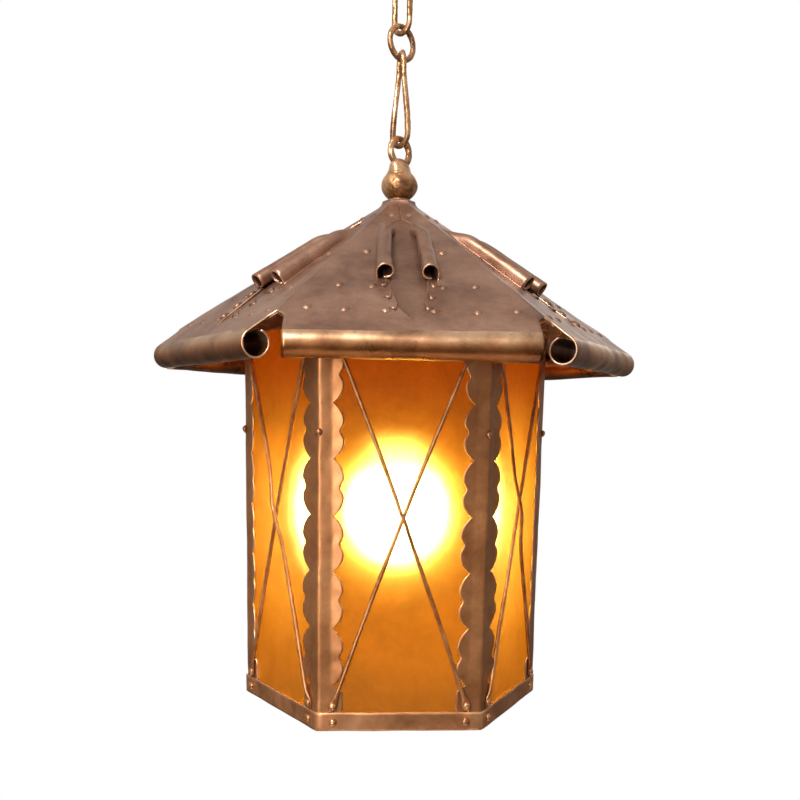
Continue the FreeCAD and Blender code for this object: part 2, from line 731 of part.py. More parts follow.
def face_placement(azimuth, out):
    """The frame of a face: X along it, Y up it, Z out of it, its origin over the rim."""
    along, up, normal = face_axes(azimuth)
    base = face_point(azimuth, 0, 0, out)
    return FreeCAD.Placement(
        FreeCAD.Matrix(
            along.x, up.x, normal.x, base.x,
            along.y, up.y, normal.y, base.y,
            along.z, up.z, normal.z, base.z,
        )
    )


def inset_along(height, inset, side):
    """The offset along a face of a place that lies inset from a ridge."""
    return side * (ridge_radius_at(height) / 2 - inset)


def band_spots(azimuth):
    """Rivets of the bottom and top band on one face: (start of the shank, direction)."""
    heights = (size("band_height") / 2, size("body_height") - size("band_height") / 2)
    normal = face_axes(azimuth)[2]
    return [
        (face_point(azimuth, inset_along(height, size("band_rivet_inset"), side), height), normal)
        for height in heights
        for side in (1, -1)
    ]


def rod_spot(azimuth, side, upper):
    height = size("body_height") - size("rod_head_drop") if upper else size("rod_foot_height")
    inset = size("rod_head_inset") if upper else size("rod_foot_inset")
    return face_point(azimuth, inset_along(height, inset, side), height)


def rod_spots(azimuth):
    normal = face_axes(azimuth)[2]
    return [(rod_spot(azimuth, side, upper), normal) for upper in (False, True) for side in (1, -1)]


def ridge_spot(azimuth):
    height = size("ridge_rivet_height")
    turn = math.radians(azimuth)
    radius = ridge_radius_at(height)
    outward = FreeCAD.Vector(math.cos(turn), math.sin(turn), 0)
    return outward * radius + FreeCAD.Vector(0, 0, size("rim_level") + height), outward


def drill(spots):
    """Through holes for the shanks of rivets."""
    radius = size("rivet_dia") / 2 + size("hole_gap")
    reach = size("wing_width") / 2
    return [Part.makeCylinder(radius, 2 * reach, spot - way * reach, way) for spot, way in spots]


def all_spots(one_face):
    return [spot for index in range(SIDES) for spot in one_face(face_azimuth(index))]


def wing(azimuth, side):
    """One wing of a corner angle, with a scalloped edge; side says which ridge of the face it meets."""

    def at(width, height):
        return face_point(azimuth, inset_along(height, width, side), height)

    top = size("body_height")
    foot = size("foot_height")
    pitch = (top - foot - size("head_height")) / LOBE_PAIRS
    slant = pitch * NOTCH_SLANT_SHARE
    full = size("wing_width")
    deep = size("notch_width")
    dip = size("dip_width")
    crown = size("lobe_width")
    edges = [
        Part.makeLine(at(0, 0), at(full, 0)),
        Part.makeLine(at(full, 0), at(full, foot - slant)),
        Part.makeLine(at(full, foot - slant), at(deep, foot)),
    ]
    for index in range(LOBE_PAIRS):
        low = foot + pitch * index
        middle = low + pitch / 2
        lower_crown = at(crown, low + LOWER_CROWN_SHARE * pitch)
        upper_crown = at(crown, low + UPPER_CROWN_SHARE * pitch)
        lower = Part.Arc(at(deep, low), lower_crown, at(dip, middle))
        upper = Part.Arc(at(dip, middle), upper_crown, at(deep, low + pitch))
        edges += [lower.toShape(), upper.toShape()]
    head = top - size("head_height")
    edges += [
        Part.makeLine(at(deep, head), at(full, head + slant)),
        Part.makeLine(at(full, head + slant), at(full, top)),
        Part.makeLine(at(full, top), at(0, top)),
        Part.makeLine(at(0, top), at(0, 0)),
    ]
    return Part.Face(Part.Wire(edges)).extrude(face_axes(azimuth)[2] * -size("angle_sheet"))


def make_corner_angles():
    """Scalloped angles on the six corners; the first is on azimuth zero."""
    wings = wing(FACE_TURN, -1).fuse(wing(-FACE_TURN, 1))
    spots = [ridge_spot(0)]
    for azimuth in (FACE_TURN, -FACE_TURN):
        spots += band_spots(azimuth) + rod_spots(azimuth)
    shape = wings.cut(drill(spots)).removeSplitter()
    for index in range(SIDES):
        angle = add("Part::Feature", f"corner_angle_{index + 1}")
        angle.Shape = shape
        angle.Placement.Rotation = turned_about_z(CORNER_TURN * index)
        node(angle)


def hex_ring(label, low, high, outside, inside):
    """A six-sided ring that follows the body's taper; all four sizes are expressions.

    low and high are heights above the rim, outside and inside are distances off the faces.
    """
    sections = []
    for end, height in (("low", low), ("high", high)):
        ridge = f"ridge_radius + ridge_flare * ({height}) / body_height"
        for skin, distance in (("out", outside), ("in", inside)):
            ring = add(
                "Part::RegularPolygon", f"{label}_{skin}_{end}",
                Circumradius=f"{ridge} + ({distance}) / hex_cos",
                Placement_Base_z=f"rim_level + {height}",
            )
            ring.Polygon = SIDES
            sections.append(ring)
    lofts = []
    for skin, pair in (("out", sections[0::2]), ("in", sections[1::2])):
        loft = add("Part::Loft", f"{label}_{skin}")
        loft.Sections = pair
        loft.Solid = True
        loft.Ruled = True
        lofts.append(loft)
    ring = add("Part::Cut", label)
    ring.Base, ring.Tool = lofts
    return ring


def drilled(label, blank, spots):
    holes = add("Part::Feature", label + "_holes")
    holes.Shape = Part.makeCompound(drill(spots))
    piece = add("Part::Cut", label)
    piece.Base = blank
    piece.Tool = holes
    return node(piece)


def make_bands():
    spots = all_spots(band_spots)
    for label, low, high in (
        ("bottom_band", "0", "band_height"),
        ("top_band", "body_height - band_height", "body_height"),
    ):
        drilled(label, hex_ring(label + "_blank", low, high, "band_sheet", "0"), spots)


def make_inner_ledge():
    back = "-pane_depth"
    leg = hex_ring("ledge_leg", "0", "ledge_height", back, f"{back} - ledge_sheet")
    shelf = hex_ring(
        "ledge_shelf", "ledge_height - ledge_sheet", "ledge_height", back, f"{back} - ledge_width"
    )
    blank = add("Part::Fuse", "ledge_blank")
    blank.Base = leg
    blank.Tool = shelf
    drilled("inner_ledge", blank, all_spots(band_spots))


def make_mica_panels():
    """Panes between the corner angles' backs, standing on the ledge."""
    foot = "ledge_height"
    head = "body_height - mica_top"
    corners = []
    for side, height in (("-", foot), ("", foot), ("", head), ("-", head)):
        half = f"((ridge_radius + ridge_flare * ({height}) / body_height) / 2 - mica_edge)"
        corners.append((f"{side}{half}", height))
    for index in range(SIDES):
        body = new_body(f"mica_panel_{index + 1}")
        sketch = new_sketch(body, "XY_Plane")
        polygon(sketch, corners)
        pad = body.newObject("PartDesign::Pad", f"pane_{index + 1}")
        pad.Profile = sketch
        bind(pad, Length="mica_sheet")
        body.setExpression("Placement.Base.z", None)
        body.Placement = face_placement(face_azimuth(index), -size("pane_depth") - size("mica_sheet"))
        node(body)


def rod_shape(azimuth, lean, lift):
    """A rod from its lower rivet to its upper one; lift is its rise over the other rod."""
    normal = face_axes(azimuth)[2]
    radius = size("rod_dia") / 2
    seat = radius + size("lay_gap")
    foot = rod_spot(azimuth, -lean, False)
    head = rod_spot(azimuth, lean, True)
    start = foot + normal * seat
    end = head + normal * seat
    if lift:
        middle = (start + end) * 0.5 + normal * lift
        line = Part.Arc(start, middle, end).toShape()
    else:
        line = Part.makeLine(start, end)
    rod = round_bar([line], start, radius)
    sheet = size("rod_eye_sheet")
    eyes = [
        Part.makeCylinder(size("rod_eye_dia") / 2, sheet, spot + normal * size("lay_gap"), normal)
        for spot in (foot, head)
    ]
    # the flattened end is no thicker than its sheet under the rivet's head
    reach = size("rivet_head_dia") / 2 + size("rod_gap")
    clear = [
        Part.makeCylinder(reach, size("rod_dia"), spot + normal * (size("lay_gap") + sheet), normal)
        for spot in (foot, head)
    ]
    return rod.fuse(eyes).cut(clear).cut(drill([(spot, normal) for spot in (foot, head)]))


def make_rods():
    crossing = size("rod_dia") + size("rod_gap")
    for index in range(SIDES):
        for label, lean, lift in (("rod_under", 1, 0.0), ("rod_over", -1, crossing)):
            rod = add("Part::Feature", f"{label}_{index + 1}")
            rod.Shape = rod_shape(face_azimuth(index), lean, lift)
            node(rod)


def rivet(spot, way, stack, depth):
    """A domed rivet: its head stands on stack, its shank reaches depth below the outer face."""
    reach = size("rivet_head_dia") / 2
    rise = size("rivet_head_rise")
    radius = (reach * reach + rise * rise) / (2 * rise)
    seat = spot + way * stack
    low = math.degrees(math.asin((radius - rise) / radius))
    head = Part.makeSphere(radius, seat - way * (radius - rise), way, low, 90, 360)
    shank = Part.makeCylinder(size("rivet_dia") / 2, stack + depth + rise / 2, spot - way * depth, way)
    return head.fuse(shank).removeSplitter()


def make_rivets():
    sheet = size("angle_sheet")
    gap = size("lay_gap")
    on_band = size("band_sheet") + gap / 2
    on_rod = gap + size("rod_eye_sheet") + gap / 2
    on_ridge = gap / 2
    ledge_back = size("pane_depth") + size("ledge_sheet")
    band = []
    for index in range(SIDES):
        spots = band_spots(face_azimuth(index))
        band += [rivet(spot, way, on_band, ledge_back) for spot, way in spots[:2]]
        band += [rivet(spot, way, on_band, sheet) for spot, way in spots[2:]]
    rods = [rivet(spot, way, on_rod, sheet) for spot, way in all_spots(rod_spots)]
    ridges = [rivet(*ridge_spot(CORNER_TURN * index), on_ridge, sheet) for index in range(SIDES)]
    for label, solids in (("band_rivets", band), ("rod_rivets", rods), ("ridge_rivets", ridges)):
        group = add("Part::Feature", label)
        group.Shape = Part.makeCompound(solids)
        node(group)


# ---------------------------------------------------------------- lamp


def tube(label, level, outer, inner, height):
    """A straight tube from an outline of expressions."""
    return turned(label, level, [(inner, "0"), (outer, "0"), (outer, height), (inner, height)])


def hex_nut(label, level):
    prism = add(
        "Part::Prism", label + "_blank", Circumradius="nut_dia / 2", Height="nut_height",
        Placement_Base_z=level,
    )
    prism.Polygon = SIDES
    bore = add(
        "Part::Cylinder", label + "_bore", Radius="pipe_dia / 2 + hole_gap",
        Height="nut_height + 2 * overrun", Placement_Base_z=f"{level} - overrun",
    )
    nut = add("Part::Cut", label)
    nut.Base = prism
    nut.Tool = bore
    return nut


def make_pipe_and_nuts():
    tube(
        "seat_washer", "liner_top", "washer_dia / 2", "pipe_dia / 2 + hole_gap", "ball_seat - liner_top"
    )
    tube(
        "lamp_pipe", "socket_top - pipe_thread", "pipe_dia / 2", "pipe_bore / 2",
        "ball_seat + pipe_reach - socket_top + pipe_thread",
    )
    node(hex_nut("roof_nut", "liner_top - liner_sheet - nut_height"))
    pair = add("Part::Compound", "crossbar_nuts")
    pair.Links = [
        hex_nut("lower_nut", "bar_under - nut_height"),
        hex_nut("upper_nut", "bar_under + bar_sheet"),
    ]
    node(pair)


def make_crossbar():
    """A strap from face to face, hung on the pipe, with its ends turned up against the top band."""
    reach = "((ridge_radius + ridge_flare * (body_height - bar_lug) / body_height) * hex_cos)"
    strap = add(
        "Part::Box", "crossbar_strap", Length="bar_width", Width=f"2 * {reach}", Height="bar_sheet",
        Placement_Base_x="-bar_width / 2", Placement_Base_y=f"-{reach}", Placement_Base_z="bar_under",
    )
    lugs = [
        add(
            "Part::Box", f"crossbar_lug_{name}", Length="bar_width", Width="bar_sheet",
            Height="bar_lug", Placement_Base_x="-bar_width / 2", Placement_Base_y=place,
            Placement_Base_z="bar_under",
        )
        for name, place in (("front", f"-{reach}"), ("back", f"{reach} - bar_sheet"))
    ]
    blank = add("Part::MultiFuse", "crossbar_blank")
    blank.Shapes = [strap] + lugs
    hole = add(
        "Part::Cylinder", "crossbar_hole", Radius="pipe_dia / 2 + hole_gap",
        Height="bar_sheet + 2 * overrun", Placement_Base_z="bar_under - overrun",
    )
    bar = add("Part::Cut", "crossbar")
    bar.Base = blank
    bar.Tool = hole
    return node(bar)


def make_socket():
    bore = "pipe_dia / 2 + hole_gap"
    hub = "pipe_dia / 2 + cap_hub"
    hub_low = "cap_height - pipe_thread - overrun"
    shell = "socket_dia / 2"
    turned(
        "socket_cap", "cap_low",
        [
            (f"{shell} - socket_wall", "0"),
            (shell, "0"),
            (shell, "cap_rim"),
            (hub, "cap_height - cap_hub_height"),
            (hub, "cap_height"),
            (bore, "cap_height"),
            (bore, hub_low),
            (f"{hub} - socket_wall", hub_low),
            (f"{shell} - socket_wall", "cap_rim - socket_wall"),
        ],
    )
    tube("socket_shell", "socket_low", shell, f"{shell} - socket_wall", "socket_height")
    liner = f"{shell} - socket_wall - lay_gap"
    tube(
        "socket_sleeve", "socket_low + sleeve_setback", liner, f"{liner} - sleeve_wall",
        "core_low - socket_low - 2 * sleeve_setback",
    )
    turned(
        "socket_core", "core_low",
        [("0", "0"), (liner, "0"), (liner, "core_height"), ("0", "core_height")],
    )
    tube(
        "socket_screw_shell", "core_low - screw_shell_height", "screw_shell_radius + screw_shell_wall",
        "screw_shell_radius", "screw_shell_height",
    )
    turned(
        "socket_contact", "core_low - contact_sheet",
        [
            ("0", "0"),
            ("bulb_tip_dia / 2", "0"),
            ("bulb_tip_dia / 2", "contact_sheet"),
            ("0", "contact_sheet"),
        ],
    )
    screws = []
    for name, side in (("left", "-"), ("right", "")):
        screws.append(
            add(
                "Part::Cylinder", f"terminal_screw_{name}", Radius="terminal_dia / 2",
                Height="terminal_dia / 2", Placement_Base_x=f"{side}socket_dia / 4",
                Placement_Base_z="core_top + lay_gap",
            )
        )
    group = add("Part::Compound", "socket_screws")
    group.Links = screws
    node(group)


def globe(label, trim):
    """The form of the bulb's glass, trimmed all round by a wall."""
    ball = add(
        "Part::Sphere", label + "_globe", Radius=f"bulb_dia / 2 - {trim}",
        Placement_Base_z="bulb_centre",
    )
    shoulder = add(
        "Part::Cone", label + "_shoulder", Radius1=f"bulb_shoulder_dia / 2 - {trim}",
        Radius2=f"bulb_base_dia / 2 - {trim}",
        Height="bulb_neck - bulb_centre - bulb_shoulder_rise - bulb_throat",
        Placement_Base_z="bulb_centre + bulb_shoulder_rise",
    )
    neck = add(
        "Part::Cylinder", label + "_neck", Radius=f"bulb_base_dia / 2 - {trim}",
        Height="bulb_throat", Placement_Base_z="bulb_neck - bulb_throat",
    )
    form = add("Part::MultiFuse", label)
    form.Shapes = [ball, shoulder, neck]
    return form


def make_bulb():
    glass = add("Part::Cut", "bulb_glass")
    glass.Base = globe("bulb_outside", "0")
    glass.Tool = globe("bulb_inside", "bulb_wall")
    node(glass)
    base = "bulb_base_dia / 2"
    tube("bulb_base", "bulb_neck", base, f"{base} - bulb_wall", "bulb_base_height")
    turned(
        "bulb_tip", "bulb_base_top",
        [
            ("0", "0"),
            ("bulb_base_dia / 2", "0"),
            ("bulb_tip_dia / 2", "bulb_tip_height"),
            ("0", "bulb_tip_height"),
        ],
    )
    turned(
        "bulb_stem", "bulb_base_top - stem_height",
        [
            ("0", "0"),
            ("stem_disc / 2", "0"),
            ("stem_disc / 2", "bulb_wall"),
            ("stem_neck / 2", "stem_flare"),
            ("stem_neck / 2", "stem_height - 2 * stem_flare"),
            ("stem_disc / 2", "stem_height"),
            ("0", "stem_height"),
        ],
    )
    filament = add(
        "Part::Torus", "bulb_filament", Radius1="stem_disc / 2 - filament_inset",
        Radius2="bulb_wall / 2",
        Placement_Base_z="bulb_base_top - stem_height - bulb_wall / 2 - lay_gap",
    )
    node(filament)


# ---------------------------------------------------------------- build and write


make_top_link()
make_ring_link()
make_lower_link()
make_finial_eye()
make_finial_ball()
make_roof_panels()
make_roof_liner()
make_corner_angles()
make_bands()
make_inner_ledge()
make_mica_panels()
make_rods()
make_rivets()
make_pipe_and_nuts()
make_crossbar()
make_socket()
make_bulb()
DOC.recompute()

for item in DOC.Objects:
    if any(state in FAULTY_STATES for state in item.State):
        raise SystemExit(f"{item.Label} did not recompute: {item.State}")
for item in NODES:
    if item.Shape.isNull() or not item.Shape.isValid() or not item.Shape.Solids:
        raise SystemExit(f"{item.Label} has no valid solid")

os.makedirs("parts", exist_ok=True)
for item in NODES:
    item.Shape.exportStep(f"parts/{item.Label}.step")
print(len(NODES), "sub-parts; rim at", round(size("rim_level"), 2))
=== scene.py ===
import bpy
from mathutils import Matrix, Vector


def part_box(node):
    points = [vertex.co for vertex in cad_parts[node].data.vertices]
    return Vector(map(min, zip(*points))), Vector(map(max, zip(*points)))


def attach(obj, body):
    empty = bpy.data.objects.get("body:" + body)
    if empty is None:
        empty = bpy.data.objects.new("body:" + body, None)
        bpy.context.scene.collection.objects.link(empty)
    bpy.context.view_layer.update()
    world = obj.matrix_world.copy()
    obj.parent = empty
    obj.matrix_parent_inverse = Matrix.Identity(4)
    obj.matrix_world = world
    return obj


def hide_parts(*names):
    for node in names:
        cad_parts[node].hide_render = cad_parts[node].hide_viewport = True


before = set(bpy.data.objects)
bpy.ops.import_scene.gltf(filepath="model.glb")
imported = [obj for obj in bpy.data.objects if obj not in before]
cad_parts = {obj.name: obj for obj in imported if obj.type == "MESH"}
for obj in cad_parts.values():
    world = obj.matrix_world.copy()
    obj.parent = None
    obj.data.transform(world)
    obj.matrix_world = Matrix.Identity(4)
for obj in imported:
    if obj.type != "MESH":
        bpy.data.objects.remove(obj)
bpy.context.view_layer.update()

import math

import bmesh
import bpy
import numpy as np
from mathutils import Matrix, Vector, noise

# the vector noise starts from the clock unless it is given a seed
noise.seed_set(7)

# The looks of a hand-wrought hanging lantern, in metres; MM turns millimetres into metres.
# The lantern's axis is Z. Its faces look towards the azimuths 30, 90, 150 ... degrees and its corner
# ridges stand at 0, 60, 120 ...; face 5, at azimuth 270, is the front.

MM = 0.001
SIDES = 6
HEX_COS = math.cos(math.radians(30))
HEX_TAN = math.tan(math.radians(30))

# ---- sizes and places

PANEL_LOW, PANEL_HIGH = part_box("roof_panel_5")
ANGLE_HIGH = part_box("corner_angle_1")[1]
BAND_LOW, BAND_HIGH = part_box("bottom_band")
TOP_BAND_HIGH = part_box("top_band")[1]
BALL_LOW, BALL_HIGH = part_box("finial_ball")
EYE_LOW, EYE_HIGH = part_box("finial_eye")
RING_LOW, RING_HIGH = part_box("ring_link")
TOP_LINK_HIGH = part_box("top_link")[1]
LOWER_LINK_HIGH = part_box("lower_link")[1]
BULB_LOW, BULB_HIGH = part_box("bulb_glass")

SHEET = 1.2 * MM

# roof
ROOF_SLOPE = math.radians(36.84)
EAVE_RADIUS = 9.5 * MM
EAVE_ROLL = math.radians(300)
EAVE_HALF = 78.85 * MM
HIP_SETBACK = 11.7 * MM
NECK_APOTHEM = 11 * MM
NECK_BEND = 4 * MM
EAVE_APOTHEM = -PANEL_LOW.y - EAVE_RADIUS
EAVE_LEVEL = PANEL_LOW.z + EAVE_RADIUS
ROOF_PEAK = EAVE_LEVEL + math.tan(ROOF_SLOPE) * EAVE_APOTHEM + EAVE_RADIUS / math.cos(ROOF_SLOPE)
SLOPE_NORMAL = Vector((math.sin(ROOF_SLOPE), 0, math.cos(ROOF_SLOPE)))
SLOPE_DOWN = Vector((math.cos(ROOF_SLOPE), 0, -math.sin(ROOF_SLOPE)))
SLOPE_END = EAVE_APOTHEM + EAVE_RADIUS * math.sin(ROOF_SLOPE)
NECK_TOP = PANEL_HIGH.z
# opening and curls, as apothems from the axis
SLIT_START = 13 * MM
SLIT_FORK = 33 * MM
SLIT_CRACK = 0.35 * MM
CURL_START = 40 * MM
CURL_FULL = 64 * MM
CURL_END = 108 * MM
VEE_TURN = 138 * MM
VEE_LOW = 148 * MM
SLIT_HALF = 8 * MM
WAIST_HALF = 9 * MM
VEE_HALF = 13.5 * MM
VEE_TURN_HALF = 7.5 * MM
NECK_SPLIT_HALF = 4.2 * MM
VEE_SPLIT_HALF = 17 * MM
EAVE_SPLIT_HALF = 14 * MM
CURL_LEAD = 4 * MM
CURL_LEG = 0.75
CURL_RISE = math.radians(97)
CURL_OVERRUN = math.radians(10)
CURL_TIGHTENING = 1.12
CURL_RADIUS = 5.6 * MM
CURL_START_RADIUS = 3.9 * MM
CURL_ROLL = math.radians(285)
# punched studs: apothem, then offsets to either side
STUDS = [(141, (15.2, 41.5, 66)), (115, (23.7, 46)), (78, (26.2,)), (28, (7,))]
STUD_RADIUS = 3.3 * MM
STUD_RISE = 1.2 * MM
STUD_RINGS = 7
STUD_SPOKES = 14
# raised tabs: apothem and offset
TABS = [(115, 13.6), (127, 11.0), (138, 8.0)]
# a panel's grids
ROW_STEP = 2.1 * MM
ROLL_ROWS = 30
OUTER_COLUMNS = 30
FLAP_COLUMNS = 22
LOW_COLUMNS = 8
# the rows of the roll count as standing here, beyond the slope
ROLL_APOTHEM = VEE_LOW + 20 * MM

# body
BAND_SHEET = 1.2 * MM
RIDGE_RADIUS = ANGLE_HIGH.x - 8.26 * MM
RIDGE_FLARE = 8.26 * MM
RIM = BAND_LOW.z
BODY_HEIGHT = TOP_BAND_HIGH.z - RIM
BAND_HEIGHT = BAND_HIGH.z - RIM
WING = 16.8 * MM
LOBE = 17.8 * MM
NOTCH = 10.3 * MM
DIP = 14.7 * MM
FOOT = 30 * MM
HEAD = 27 * MM
LOBE_PAIRS = 6
FLARE_LINE = 8.8 * MM
FLARE_ANGLE = math.radians(15)
FLARE_BEND = 1.4 * MM
WING_TOP = BODY_HEIGHT - HEAD
LOBE_PITCH = (WING_TOP - FOOT) / LOBE_PAIRS
WING_CHAMFER = 4.5 * MM
WING_COLUMNS = 13
RIDGE_BEND = 2.4 * MM
RIDGE_ROUNDING = 0.35 * MM
FACE_TILT = math.atan(RIDGE_FLARE * HEX_COS / BODY_HEIGHT)
BAND_STEPS = 26
BAND_CORNER = 2.2 * MM
BAND_ROUNDING = 0.45 * MM

# rods, rivets and chain
ROD_RADIUS = 1.4 * MM
ROD_FOOT = 16.4 * MM
ROD_FOOT_INSET = 10.1 * MM
ROD_HEAD_DROP = 20 * MM
ROD_HEAD_INSET = 11 * MM
ROD_CROSSING = 142 * MM
ROD_OVERRUN = 4.0 * MM
ROD_LENGTH = 258 * MM
ROD_STEPS = 90
ROD_SWAY = 2.3 * MM
ROD_SEAT = 0.15 * MM
ROD_GAP = 0.25 * MM
BAND_RIVET_INSET = 10.3 * MM
RIVET_RADIUS = 2.7 * MM
RIVET_RISE = 2.2 * MM
RIVET_SINK = 0.1 * MM
RIVET_RINGS = 7
RIVET_SPOKES = 18
RIDGE_RIVET = 198 * MM
BAR_RADIUS = 2.25 * MM
LINK_SPAN = 72.5 * MM
LINK_WIDTH = 16.6 * MM
RING_SPAN = 25.5 * MM
TOP_LINK_YAW = -50
RING_YAW = 42
LOWER_LINK_YAW = 98
LOWER_LINK_TWIST = 32
EYE_YAW = 42
EYE_SPAN = 20 * MM
EYE_BAR = 5 * MM
LINK_POINTS = 120
RING_POINTS = 72
# the eye's neck: half width, half depth, height over the ball's top or over the eye bar's underside
NECK_ON_BALL = [(10.9, 10.9, -4.6), (10.3, 9.6, -3.3), (9.8, 8.2, -1.6), (9.4, 7.2, 0.6), (9.2, 6.3, 2.4)]
NECK_ON_BAR = [(8.8, 5.3, 0.2), (7.8, 4.2, 1.6), (6.5, 3.3, 2.8), (5.0, 2.6, 3.8), (3.2, 1.9, 4.4)]
NECK_TIP = 4.6 * MM

# bulb
BULB_NECK = 13.0 * MM
GLOBE_STEPS = 24
TAPER_STEPS = 16
GLOW_START = 45 * MM

WELD_REACH = 2e-6
METAL_GRAIN = 400

# ---- mesh helpers


def smooth_step(value, low, high):
    share = min(1.0, max(0.0, (value - low) / (high - low)))
    return share * share * (3 - 2 * share)


def track(value, places):
    """Straight-line interpolation through (position, value) pairs."""
    return float(np.interp(value, [p for p, _ in places], [v for _, v in places]))


def wobble(point, scale, amount, seed=0.0):
    """A smooth, repeatable shift in three directions."""
    spot = Vector(point) / scale + Vector((seed, seed * 1.7, -seed))
    return noise.noise_vector(spot) * amount


def dent(point, scale, amount, seed=0.0):
    return noise.noise(Vector(point) / scale + Vector((seed, -seed, seed * 0.6))) * amount


def new_object(name, verts, faces):
    mesh = bpy.data.meshes.new(name)
    mesh.from_pydata([tuple(v) for v in verts], [], faces)
    mesh.update()
    item = bpy.data.objects.new(name, mesh)
    bpy.context.scene.collection.objects.link(item)
    mesh.polygons.foreach_set("use_smooth", [True] * len(mesh.polygons))
    return item


def level_ways(angle):
    """The level directions along an angle and square to it."""
    x, y = math.cos(angle), math.sin(angle)
    return Vector((x, y, 0)), Vector((-y, x, 0))


def spoke_ways(side, other, spokes):
    """Directions all round, from side towards other."""
    turns = [2 * math.pi * spoke / spokes for spoke in range(spokes)]
    return [side * math.cos(turned) + other * math.sin(turned) for turned in turns]


def grid_faces(rows, columns, offset=0, wrap_rows=False, wrap_columns=False):
    faces = []
    for i in range(rows if wrap_rows else rows - 1):
        for j in range(columns if wrap_columns else columns - 1):
            a = i * columns + j
            b = i * columns + (j + 1) % columns
            c = ((i + 1) % rows) * columns + (j + 1) % columns
            d = ((i + 1) % rows) * columns + j
            faces.append((offset + a, offset + b, offset + c, offset + d))
    return faces


class Patchwork:
    """Collects grids of vertices into one mesh."""

    def __init__(self):
        self.verts = []
        self.faces = []

    def grid(self, rows, flip=False, **wraps):
        height = len(rows)
        width = len(rows[0])
        faces = grid_faces(height, width, len(self.verts), **wraps)
        if flip:
            faces = [tuple(reversed(face)) for face in faces]
        for row in rows:
            self.verts.extend(row)
        self.faces.extend(faces)

    def cap(self, centre, ring_start, count, flip=False):
        self.verts.append(centre)
        tip = len(self.verts) - 1
        for k in range(count):
            face = (ring_start + k, ring_start + (k + 1) % count, tip)
            self.faces.append(tuple(reversed(face)) if flip else face)

    def make(self, name):
        return new_object(name, self.verts, self.faces)


def weld(item):
    """Join the vertices that two grids share."""
    mesh = bmesh.new()
    mesh.from_mesh(item.data)
    bmesh.ops.remove_doubles(mesh, verts=mesh.verts, dist=WELD_REACH)
    mesh.to_mesh(item.data)
    mesh.free()
    item.data.update()


def set_materials(item, keys):
    """Fill the slots anew; clearing them alone would put every face on the first one."""
    indices = [polygon.material_index for polygon in item.data.polygons]
    item.data.materials.clear()
    for key in keys:
        item.data.materials.append(MATERIALS[key])
    item.data.polygons.foreach_set("material_index", indices)


def thicken(item, thickness, *keys):
    """Give a sheet its materials and its thickness; the cut edges take the second material."""
    set_materials(item, keys)
    wall = item.modifiers.new("wall", "SOLIDIFY")
    wall.thickness = thickness
    wall.offset = 0.0
    wall.use_rim = True
    wall.use_quality_normals = True
    wall.material_offset_rim = 1
    graph = bpy.context.evaluated_depsgraph_get()
    made = bpy.data.meshes.new_from_object(item.evaluated_get(graph))
    item.modifiers.clear()
    item.data = made


def finish_piece(item, node_names, body, slot, *keys):
    set_materials(item, keys)
    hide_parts(*node_names)
    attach(item, body)


# ---- materials


class Shader:
    """A small builder for a node material."""

    def __init__(self, name):
        self.material = bpy.data.materials.new(name)
        self.material.use_nodes = True
        self.tree = self.material.node_tree
        self.tree.nodes.clear()
        self.out = self.add("ShaderNodeOutputMaterial")
        self.place = self.add("ShaderNodeTexCoord").outputs["Object"]
        self.spot = self.place

    def add(self, kind, **inputs):
        node = self.tree.nodes.new(kind)
        for name, value in inputs.items():
            self.set(node, name.replace("_", " "), value)
        return node

    def set(self, node, name, value):
        socket = node.inputs[name]
        if isinstance(value, bpy.types.NodeSocket):
            self.tree.links.new(value, socket)
        else:
            socket.default_value = value

    def noise(self, scale, detail=4.0, roughness=0.55, distortion=0.0):
        node = self.add("ShaderNodeTexNoise", Vector=self.spot, Scale=scale, Detail=detail)
        self.set(node, "Roughness", roughness)
        self.set(node, "Distortion", distortion)
        return node.outputs["Fac"]

    def cells(self, scale):
        node = self.add("ShaderNodeTexVoronoi", Vector=self.spot, Scale=scale)
        node.feature = "SMOOTH_F1"
        node.inputs["Smoothness"].default_value = 1.0
        return node.outputs["Distance"]

    def ramp(self, value, stops):
        node = self.add("ShaderNodeValToRGB", Fac=value)
        while len(node.color_ramp.elements) < len(stops):
            node.color_ramp.elements.new(0.5)
        for element, (place, colour) in zip(node.color_ramp.elements, stops):
            element.position = place
            element.color = (*colour, 1.0) if isinstance(colour, tuple) else (colour, colour, colour, 1.0)
        return node.outputs["Color"]

    def mix(self, share, first, second, blend="MIX"):
        node = self.tree.nodes.new("ShaderNodeMix")
        node.data_type = "RGBA"
        node.blend_type = blend
        for socket, value in ((0, share), (6, first), (7, second)):
            self.set(node, socket, (*value, 1.0) if isinstance(value, tuple) else value)
        return node.outputs[2]

    def height_share(self, low, high):
        """Height in the part, as a share of the way from low to high."""
        split = self.add("ShaderNodeSeparateXYZ", Vector=self.place)
        share = self.add("ShaderNodeMapRange", Value=split.outputs["Z"])
        self.set(share, "From Min", low)
        self.set(share, "From Max", high)
        return share.outputs["Result"]

    def bump(self, height, strength, distance, normal=None):
        node = self.add("ShaderNodeBump", Height=height, Strength=strength, Distance=distance)
        if normal is not None:
            self.set(node, "Normal", normal)
        return node.outputs["Normal"]

    def blend(self, share, first, second):
        node = self.tree.nodes.new("ShaderNodeMixShader")
        self.set(node, "Fac", share)
        self.tree.links.new(first, node.inputs[1])
        self.tree.links.new(second, node.inputs[2])
        return node.outputs[0]

    def surface(self, shader):
        self.tree.links.new(shader, self.out.inputs["Surface"])
        return self.material

    def principled(self, **inputs):
        return self.surface(self.add("ShaderNodeBsdfPrincipled", **inputs).outputs["BSDF"])


